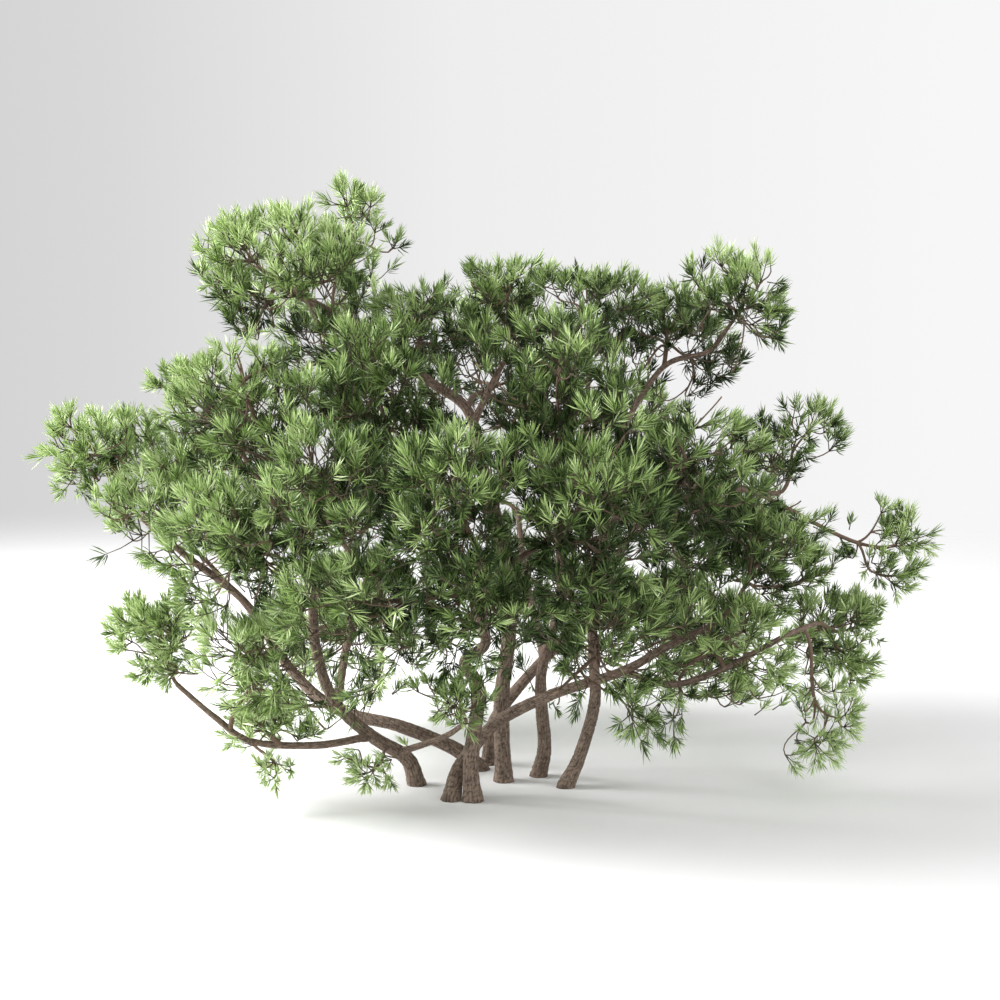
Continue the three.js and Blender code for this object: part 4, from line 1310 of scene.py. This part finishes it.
# %% [markdown]
# ## Shoots
# A shoot is a slim stalk that sweeps up a little. Most of it is bare, because old needles fall,
# and its end is a brush: needles all round it, spread wide at the back and close together at the
# tip. Real shoots fork, so side shoots leave the stalks of the sprays and end in brushes too. A
# curve object for each stalk would be slow with thousands of them, and as arrays one formula
# makes them all at once.

# %% Stalks
SWEEP = 0.22             # how far a stalk bends up, as a share of its length
NEEDLE = 47.0            # length of a full needle
FULL_SHOOT = 90.0        # shoots at least so long have full needles
SHORTEST_NEEDLE = 0.7    # of a full one
BRUSH = 25.0             # length of stalk that carries needles, at most
BRUSH_SHARE = 0.7        # of the stalk, at most
PAST_STALK = 0.8         # part of a needle that stands out past the stalk's end
SHORTEST_SIDE_SHOOT = 54


class Shoots:
    """Many shoots as arrays: where each starts and ends, and the tuft that it belongs to."""

    def __init__(self, start, tip, tuft):
        self.start, self.tip, self.tuft = start, tip, tuft
        self.reach = np.linalg.norm(tip - start, axis=1)
        self.ahead = unit(tip - start)
        self.lift = UP - self.ahead * self.ahead[:, 2:]
        self.needle = NEEDLE * np.clip(self.reach / FULL_SHOOT, SHORTEST_NEEDLE, 1)
        self.stalk = self.reach - PAST_STALK * self.needle
        self.bare = 1 - np.minimum(BRUSH / self.stalk, BRUSH_SHARE)

    def __len__(self):
        return len(self.start)

    def pick(self, chosen):
        """Some of the shoots, by number or by a mask."""
        return Shoots(self.start[chosen], self.tip[chosen], self.tuft[chosen])

    def at(self, t):
        """Points on the stalks at shares t of the shape (shoots, places): the length of the stalk
        times the way ahead, and up by SWEEP t^2 of the length, less the part that points ahead."""
        t = t[..., None]
        return self.start[:, None] + self.stalk[:, None, None] * (
            self.ahead[:, None] * t + self.lift[:, None] * SWEEP * t * t)

    def tangents(self, t):
        """Directions of the stalks there: the way ahead and 2 SWEEP t of the lift."""
        return unit(self.ahead[:, None] + self.lift[:, None] * 2 * SWEEP * t[..., None])

    def side_shoots(self, part, shares, cuts, random):
        """A side shoot on some part of the shoots: it leaves the stalk between two shares of it,
        leans 0.5 to 0.9 radians to some side and a little up, and reaches between two cuts of
        the length."""
        if part < 1:
            return self.pick(random.random(len(self)) < part).side_shoots(1, shares, cuts, random)
        t = random.uniform(*shares, (len(self), 1))
        foot, tangent = self.at(t)[:, 0], self.tangents(t)[:, 0]
        across, other = frame_at(tangent, unit(random.normal(size=(len(self), 3))))
        lean = random.uniform(0.5, 0.9, (len(self), 1))
        aim = unit(tangent * np.cos(lean) + across * np.sin(lean) + 0.25 * UP)
        length = self.reach[:, None] * random.uniform(*cuts, (len(self), 1))
        return Shoots(foot, foot + aim * np.maximum(length, SHORTEST_SIDE_SHOOT), self.tuft)


def together(parts):
    """All shoots of several sets in one."""
    return Shoots(*(np.concatenate([getattr(part, name) for part in parts])
        for name in ("start", "tip", "tuft")))


# %% [markdown]
# ## Where the crown is open
# The plant isn't filled evenly: some tufts end short of their ball, the background shows through
# openings, and stretches of the limbs lie bare in front of the foliage. Shoots are cut back or
# left out for that. A mask over the picture would do it only from one side, and leave needles cut
# through, so whole shoots and whole needles go.

# %% How far tufts reach
# For tufts that end short of their ball: the highest z, the lowest x and the highest x. Single
# shoots end about 20 mm before or behind that.
NO_END = 2000
LESS = {
    "top_left_inner": (1445, -700, 900), "top_left_outer": (1450, -750, 900),
    "top_middle_left": (1255, -900, 900), "top_middle": (1305, -900, 900),
    "top_middle_right": (1290, -900, 900), "top_right_inner": (1255, -900, 900),
    "top_right": (1335, -900, 685), "left_front": (1110, -900, 900),
    "left_tip": (NO_END, -1120, 900), "low_left_outer": (NO_END, -960, -765),
    "low_left_tip": (NO_END, -590, -490), "low_middle_tip": (NO_END, -440, -265),
    "right_front": (970, -900, 900), "right_outer": (735, -900, 780),
    "far_right": (755, -900, 1085), "low_right_outer": (NO_END, -900, 935),
    "hanging_right": (NO_END, 715, 900),
}
room = np.array([LESS.get(tuft.name, (NO_END, -NO_END, NO_END)) for tuft in tufts], float)
print(len(LESS), "tufts that end short")


# %% Openings of the crown
# Places where the picture shows the background through the crown, read off as before: the
# middle of the opening and half its width.
SKY_EDGE = 6             # how far from an opening shoots end, in thousandths of the picture
SKY = [(203, 330, 7), (205, 363, 8), (239, 367, 9), (193, 403, 9), (316, 452, 12), (300, 440, 8),
    (486, 378, 9), (470, 365, 6), (548, 395, 6), (563, 290, 8), (632, 350, 7), (680, 357, 8),
    (768, 325, 8), (781, 272, 11), (705, 432, 8), (795, 495, 9), (818, 497, 12), (845, 525, 9),
    (876, 556, 10), (860, 530, 8), (208, 635, 11), (216, 650, 9), (135, 548, 10), (98, 550, 16),
    (165, 556, 9), (345, 685, 13), (328, 652, 8), (395, 665, 8), (400, 705, 12), (422, 706, 9),
    (480, 632, 7), (618, 628, 7), (655, 675, 6), (530, 665, 7), (72, 524, 14), (790, 250, 10),
    (724, 409, 9), (708, 413, 7), (700, 724, 8), (714, 737, 11), (730, 728, 15), (767, 720, 12),
    (786, 716, 7), (620, 727, 9), (655, 711, 6), (60, 492, 9), (186, 683, 9), (206, 682, 9),
    (222, 686, 6), (480, 656, 7), (520, 664, 7), (396, 274, 8), (432, 289, 8), (152, 404, 7),
    (190, 402, 9), (243, 325, 7), (795, 405, 6), (826, 436, 6), (930, 520, 8)]


def shows_sky(points):
    """True for points that would close one of the openings."""
    x, y = in_picture(points)
    return np.any([np.hypot(x - a, y - b) < half + SKY_EDGE for a, b, half in SKY], axis=0)


# %% Bare stretches of limbs
# Stretches that the picture shows bare: the limb, and from which share of its way to which.
BARE_POINTS = 24         # in which each stretch is measured
LIMB_EDGE = 1            # how far beside it needles end, in thousandths of the picture
BARE = [("stem_front_right", 0.36, 0.98), ("stem_left", 0.05, 0.28), ("stem_left", 0.5, 0.64),
    ("stem_back_left", 0.05, 0.38), ("stem_back_left", 0.48, 0.58), ("stem_back_left", 0.7, 0.84),
    ("stem_back", 0.2, 0.5), ("stem_right_inner", 0.05, 0.4), ("stem_right", 0.05, 0.42),
    ("stem_middle", 0.56, 0.68), ("bough_low_left", 0.05, 1),
    ("bough_low_front", 0, 0.8), ("bough_low_right", 0.25, 0.95), ("bough_top_right", 0.45, 0.95),
    ("bough_top_middle", 0.2, 0.8)]
bare = [limb_at(limbs[name], np.linspace(low, high, BARE_POINTS)) for name, low, high in BARE]
bare_points = np.concatenate([points for points, _ in bare])
bare_x, bare_y = in_picture(bare_points)
bare_half = np.concatenate([radii for _, radii in bare]) * FOCUS / (bare_points[:, 1] - eye[1])


def hides_limb(points):
    """True for points in front of a bare stretch: nearer to the camera than its middle, and on a
    line of sight that passes it within its radius and a thousandth of the picture."""
    x, y = in_picture(points)
    return np.any([(np.hypot(x - a, y - b) < half + LIMB_EDGE) & (points[..., 1] < depth)
        for a, b, half, depth in zip(bare_x, bare_y, bare_half, bare_points[:, 1])], axis=0)


# %% Shoots cut back
UNEVEN = 20              # by how much shoots end before or behind the end of their tuft
SHORTEST_SHOOT = 52


def within_room(some, random):
    """The shoots cut back to the room of their tufts: each keeps the share of its way at which
    it meets the first of the three ends, and goes if less than 52 mm are left. A shoot goes too
    if it would close an opening or hide a bare stretch."""
    start, way = some.start, some.tip - some.start
    own = room[some.tuft] + random.normal(0, UNEVEN, (len(some), 1)) * [1, -1, 1]
    keep = np.ones(len(some))
    for axis, sign, wall in ((2, 1, own[:, 0]), (0, -1, own[:, 1]), (0, 1, own[:, 2])):
        past = sign * (some.tip[:, axis] - wall)
        left = sign * (wall - start[:, axis])
        share = np.where(left > 0, left / np.maximum(left + past, 1e-6), 0)
        keep = np.where(past > 0, np.minimum(keep, share), keep)
    cut = Shoots(start, start + way * np.maximum(keep, 0.01)[:, None], some.tuft)
    is_long = keep * some.reach > np.minimum(SHORTEST_SHOOT, 0.999 * some.reach)
    is_clear = ~shows_sky(cut.tip) & ~hides_limb(cut.tip) & ~hides_limb((cut.tip + start) / 2)
    return cut.pick(is_long & is_clear)


# %% All shoots of the plant
FORKING_SHOOT = 70       # a shoot at least so long may fork,
FORKS_WHEN_OPEN = 0.4    # but in the open tufts only this share of them does

random = np.random.default_rng(11)
is_open = np.array([tuft.name in OPEN_TUFTS for tuft in tufts])
rows = [(start, tip, one.tuft.index, is_fine) for one in grown
    for start, tip, is_fine in one.shoots]
start, tip, tuft_of, is_fine = (np.array(column) for column in zip(*rows))
main = Shoots(start, tip, tuft_of)
may_fork = ~is_open[main.tuft] | (random.random(len(main)) < FORKS_WHEN_OPEN)
forks = (main.reach > FORKING_SHOOT) & may_fork
long, fine = main.pick(forks & ~is_fine), main.pick(forks & is_fine)
sides = together([long.side_shoots(1, (0.2, 0.45), (0.6, 0.78), random),
    long.side_shoots(0.8, (0.5, 0.75), (0.5, 0.66), random),
    fine.side_shoots(0.75, (0.3, 0.7), (0.5, 0.75), random)])
low, high = (np.array(end) / METRE for end in cad_box)
is_within = (sides.tip[:, 2] > LOWEST_TIP) & ((sides.tip > low) & (sides.tip < high)).all(1)
shoots = within_room(together([main, sides.pick(is_within)]), random)
print(len(main), "shoots of the sprays and", int(is_within.sum()), "side shoots, of which",
    len(shoots), "stay")


# %% Stalks as one mesh
STALK_RINGS, STALK_SIDES = 3, 3
STALK_RADII = (1.8, 1.0) # at the foot and at the end


def stalk_finish():
    """Young bark, dark brown with a little orange; the darkness is in part painted shade in the
    heart of each brush.
    """
    young = Finish("young bark", 0.7)
    patch = young.noise(young.place(), 90, 2)
    # Dark brown, which is in part painted shade for the heart of the brushes.
    colour = young.mix(patch, (0.05, 0.04, 0.022), (0.1, 0.076, 0.04))
    young.shine(Base_Color=colour, Roughness=0.6 + 0.2 * patch)
    return young.material


young_bark = stalk_finish()
half = len(shoots) // 2
for name, some in (("stalks_first", shoots.pick(slice(0, half))),
        ("stalks_second", shoots.pick(slice(half, None)))):
    rings = np.broadcast_to(np.linspace(0, 1, STALK_RINGS), (len(some), STALK_RINGS))
    corners = tubes(some.at(rings), np.interp(rings, (0, 1), STALK_RADII), STALK_SIDES)
    faces = tube_faces(len(some), STALK_RINGS, STALK_SIDES)
    mesh_piece(name, corners, faces, young_bark, True, FOLIAGE_NODES)
    print(name, "of", len(some), "shoots:", len(faces), "triangles")

# %% [markdown]
# ## Needles
# A needle is a keeled blade: two corners on its line and two beside it, one further out than the
# other, make a closed body of four triangles that is widest round its middle and ends in a point.
# It is about twice as wide as life, because a picture of this size would show a real one less
# than a pixel wide. A flat card with a picture of needles would be cheaper but has no outline.

# %% Needles of a shoot
NEEDLES = 22
NEEDLE_HALF = 1.8        # half the width of a needle
KEEL = 0.4               # its depth, as a share of its width
CORNERS_AT = (0.22, 0.55)
FULL_TURN = 6.28         # in radians
LOWEST_NEEDLE = 3        # above the ground
GOLDEN = math.pi * (3 - math.sqrt(5))
NEEDLE_FACES = np.array([[0, 2, 1], [0, 1, 3], [0, 3, 2], [1, 2, 3]])


def needles_of(some, numbers, cut, seed):
    """Corners of the needles with these numbers on some shoots, four for each needle. Needle j
    stands at the share (j + 0.5) / 22 of the brush, turned by the golden angle from the one
    before. It leans 0.9 radians from the stalk at the back of the brush and 0.15 at the front,
    and has the full length times the cut, less what chance and its place take. Its two side
    corners stand at 0.22 and 0.55 of it. A needle that would reach the ground has fallen, and so
    has one that would hide a bare stretch."""
    random = np.random.default_rng(seed)
    size = (len(some), len(numbers))
    share = (numbers + 0.5) / NEEDLES
    t = some.bare[:, None] + (1 - some.bare[:, None]) * share
    foot, tangent = some.at(t), some.tangents(t)
    across, other = frame_at(tangent, beside(tangent))
    turn = (numbers * GOLDEN + random.uniform(0, FULL_TURN, (len(some), 1))
        + random.uniform(-0.3, 0.3, size))[..., None]
    lean = (0.9 - 0.75 * share + random.uniform(-0.14, 0.14, size))[..., None]
    out = across * np.cos(turn) + other * np.sin(turn)
    aim = tangent * np.cos(lean) + out * np.sin(lean)
    length = cut * some.needle[:, None] * (1 - 0.15 * share) * random.uniform(0.84, 1.05, size)
    length = length[..., None]
    flat, keel = frame_at(aim, np.cross(tangent, out))
    roll = random.uniform(0, FULL_TURN, size)[..., None]
    wide = (flat * np.cos(roll) + keel * np.sin(roll)) * NEEDLE_HALF
    high = (keel * np.cos(roll) - flat * np.sin(roll)) * NEEDLE_HALF * KEEL
    end = foot + aim * length + (tangent - aim) * length * 0.06
    left = foot + aim * length * CORNERS_AT[0] + wide + high
    right = foot + aim * length * CORNERS_AT[1] - wide + high
    corners = np.stack([foot, left, right, end], 2).reshape(-1, 4, 3)
    hides = hides_limb(corners[:, 3]) | hides_limb((corners[:, 0] + corners[:, 3]) / 2)
    return corners[(corners[..., 2].min(1) > LOWEST_NEEDLE) & ~hides].reshape(-1, 3)


print("needles before the fallen ones are left out:", len(shoots) * NEEDLES)

# %% [markdown]
# ## Greens, with painted light and shade
# Needles of this year are a fresh yellow-green, older ones are deeper and a little bluer. The
# greens are plain colours, dealt out by shoot, and they paint light and shade into the crown, from
# a painted sunlit green to painted deep shade. Shoots at the rim of the crown, its low rim most of
# all, and on the side of a tuft that looks out and up draw the paler greens more often, as painted
# light, and the inner ones the deep ones, as painted shade; in part this also follows the fresh
# growth at the rim. Within a brush some needles take a green one to three steps deeper and are
# shorter, which paints shade into its heart; in part they stand for older needles. The paler
# greens also have more wax and shine more.

# %% Finishes of the needles
# The eight greens run from a painted sunlit green to painted deep shade; each has a lighter and a
# darker tone, which the mottle mixes at random.
GREENS = {
    "sunny": ((0.6, 0.72, 0.37), (0.49, 0.62, 0.27)),
    "fresh": ((0.45, 0.59, 0.23), (0.36, 0.5, 0.17)),
    "bright": ((0.325, 0.45, 0.147), (0.265, 0.385, 0.115)),
    "leafy": ((0.225, 0.33, 0.095), (0.175, 0.27, 0.072)),
    "grassy": ((0.138, 0.215, 0.056), (0.105, 0.17, 0.043)),
    "deep": ((0.08, 0.132, 0.033), (0.058, 0.1, 0.024)),
    "shade": ((0.042, 0.074, 0.018), (0.031, 0.056, 0.013)),
    "dusk": ((0.022, 0.041, 0.01), (0.015, 0.029, 0.007)),
}


def needle_finish(name, light, dark, wax):
    """A waxy green with a slight mottle from needle to needle."""
    green = Finish(f"{name} needles", 0.5)
    green.shader.inputs["Specular IOR Level"].default_value = wax
    mottle = green.noise(green.place(), 45, 1)
    green.shine(Base_Color=green.mix(mottle, dark, light), Roughness=0.3 + 0.2 * mottle)
    return green.material


# %% Greens dealt out by shoot
SHADY_HEART = np.array([90.0, 0.0, 800.0])
RIM = np.array([1000.0, 1700.0, 720.0])
LOW_RIM = np.array([1000.0, 1700.0, 560.0])
GREEN_CHANCE = 0.24


def painted_light_and_freshness_of(some, random):
    """Painted light, and in part freshness, of each shoot's needles: the distance from the shady
    heart of the crown, measured in three widths, of which the one down is short, with a share for
    the side of a tuft that looks out and up, and some chance. A high value deals a paler green."""
    widths = np.where(some.tip[:, 2:] < SHADY_HEART[2], LOW_RIM, RIM)
    rim = np.linalg.norm((some.tip - SHADY_HEART) / widths, axis=1)
    looks = 0.5 * unit(hearts - CROWN_HEART)[some.tuft] + 0.7 * UP
    outer = ((some.tip - hearts[some.tuft]) / balls[some.tuft] * looks).sum(1)
    return rim + 0.3 * outer + random.normal(0, GREEN_CHANCE, len(some))


# %% Needles of every green
SHARES = [0.13, 0.15, 0.16, 0.16, 0.14, 0.12, 0.09, 0.05]   # of the shoots, for each green
# Steps deeper paint shade into the heart of each brush; in part they also stand for older needles.
STEPS_DEEPER = np.array([0, 2, 1, 3, 0])                    # of the needles of a brush, by turns
LONGEST, STEP_SHORTER = 1.04, 0.13                          # length of a needle, for each step
WAXIEST, STEP_DULLER = 0.85, 0.1                            # shine of a green, for each green

# Shoots are ranked by their painted light: the most lit draw the palest greens, the least lit the
# darkest, as painted shade.
order = np.argsort(np.argsort(-painted_light_and_freshness_of(shoots, random))) / len(shoots)
deepest = len(GREENS) - 1
kind_of = np.minimum(np.searchsorted(np.cumsum(SHARES), order, "right"), deepest)
deeper = STEPS_DEEPER[np.arange(NEEDLES) % len(STEPS_DEEPER)]
for kind, (name, (light, dark)) in enumerate(GREENS.items()):
    corners = np.concatenate([
        needles_of(shoots.pick(np.minimum(kind_of + step, deepest) == kind),
            np.flatnonzero(deeper == step), LONGEST - STEP_SHORTER * step, 10 * kind + step)
        for step in range(STEPS_DEEPER.max() + 1)])
    faces = (NEEDLE_FACES + 4 * np.arange(len(corners) // 4)[:, None, None]).reshape(-1, 3)
    finish = needle_finish(name, light, dark, WAXIEST - STEP_DULLER * kind)
    mesh_piece(f"needles_{name}", corners, faces, finish, False, FOLIAGE_NODES)
    print(name, "needles:", len(faces), "triangles")

# %% [markdown]
# ## Floor and light
# The plant stands in a white studio. The floor is a wide disc that fades out far away, so that no
# line shows where it ends. A large lamp high on the left gives the soft shadow on the right. The
# pale surroundings, which are a little darker on the left, and a weak lamp on the right fill the
# shade. A picture of a studio as surroundings could light the plant too, but two lamps and one
# ramp of greys are simple to change.

# %% Floor
FLOOR_RADIUS, FLOOR_SIDES = 7, 96
FADE_START, FADE_END = 2.6, 6.6
FLOOR_COLOUR = (0.84, 0.84, 0.84, 1)


def floor_finish():
    """White near the plant, and from 2.6 metres to 6.6 metres ever clearer."""
    white = Finish("floor", 0.9)
    far = white.node("ShaderNodeVectorMath", {"operation": "LENGTH"}, {0: white.place()}, 1)
    fade = white.ranged(far, FADE_START, FADE_END, 0.0, 1.0, interpolation_type="SMOOTHSTEP")
    white.shader.inputs["Base Color"].default_value = FLOOR_COLOUR
    white.shader.inputs["Specular IOR Level"].default_value = 0.1
    clear = white.tree.nodes.new("ShaderNodeBsdfTransparent")
    blend = white.tree.nodes.new("ShaderNodeMixShader")
    white.put(blend.inputs[0], fade)
    white.tree.links.new(white.shader.outputs[0], blend.inputs[1])
    white.tree.links.new(clear.outputs[0], blend.inputs[2])
    white.tree.links.new(blend.outputs[0], white.tree.nodes["Material Output"].inputs[0])
    return white.material


turn = np.arange(FLOOR_SIDES) * 2 * np.pi / FLOOR_SIDES
disc = FLOOR_RADIUS * np.stack([np.cos(turn), np.sin(turn), 0 * turn], 1)
floor_mesh = bpy.data.meshes.new("floor")
floor_mesh.from_pydata(disc, [], [list(range(FLOOR_SIDES))])
floor_mesh.materials.append(floor_finish())
floor = bpy.data.objects.new("floor", floor_mesh)
bpy.context.scene.collection.objects.link(floor)


# %% Light
def lamp(name, place, target, size, power):
    """A square lamp that looks from its place to the target."""
    made = bpy.data.objects.new(name, bpy.data.lights.new(name, "AREA"))
    made.data.size, made.data.energy = size, power
    way = np.array(target) - np.array(place)
    made.location = place
    flat = math.hypot(way[0], way[1])
    made.rotation_euler = (math.atan2(flat, -way[2]), 0, math.atan2(way[1], way[0]) - math.pi / 2)
    bpy.context.scene.collection.objects.link(made)


lamp("main lamp", (-5.1, -0.2, 3.6), (0.1, 0, 0.6), 4.4, 900)
lamp("fill lamp", (3.8, -4.2, 2.2), (0.3, 0, 0.6), 3.0, 90)

# %% Surroundings
GREYS = [(0.0, 0.66), (0.12, 0.69), (0.45, 0.85), (0.95, 0.93)]     # from left to right
CONTRAST, MIDDLE = 1.9, 0.5

world = bpy.data.worlds.new("studio")
bpy.context.scene.world = world
world.use_nodes = True
nodes, links = world.node_tree.nodes, world.node_tree.links
direction = nodes.new("ShaderNodeTexCoord")
parts = nodes.new("ShaderNodeSeparateXYZ")
ramp = nodes.new("ShaderNodeValToRGB")
shift = nodes.new("ShaderNodeMath")
shift.operation = "MULTIPLY_ADD"
shift.inputs[1].default_value, shift.inputs[2].default_value = CONTRAST, MIDDLE
for stop, (place, grey) in enumerate(GREYS):
    if stop > 1:
        ramp.color_ramp.elements.new(place)
    ramp.color_ramp.elements[stop].position = place
    ramp.color_ramp.elements[stop].color = (grey, grey, grey, 1)
links.new(direction.outputs["Generated"], parts.inputs[0])
links.new(parts.outputs[0], shift.inputs[0])
links.new(shift.outputs[0], ramp.inputs[0])
links.new(ramp.outputs[0], nodes["Background"].inputs[0])
bpy.context.scene.view_settings.view_transform = "Standard"
bpy.context.scene.view_settings.look = "None"
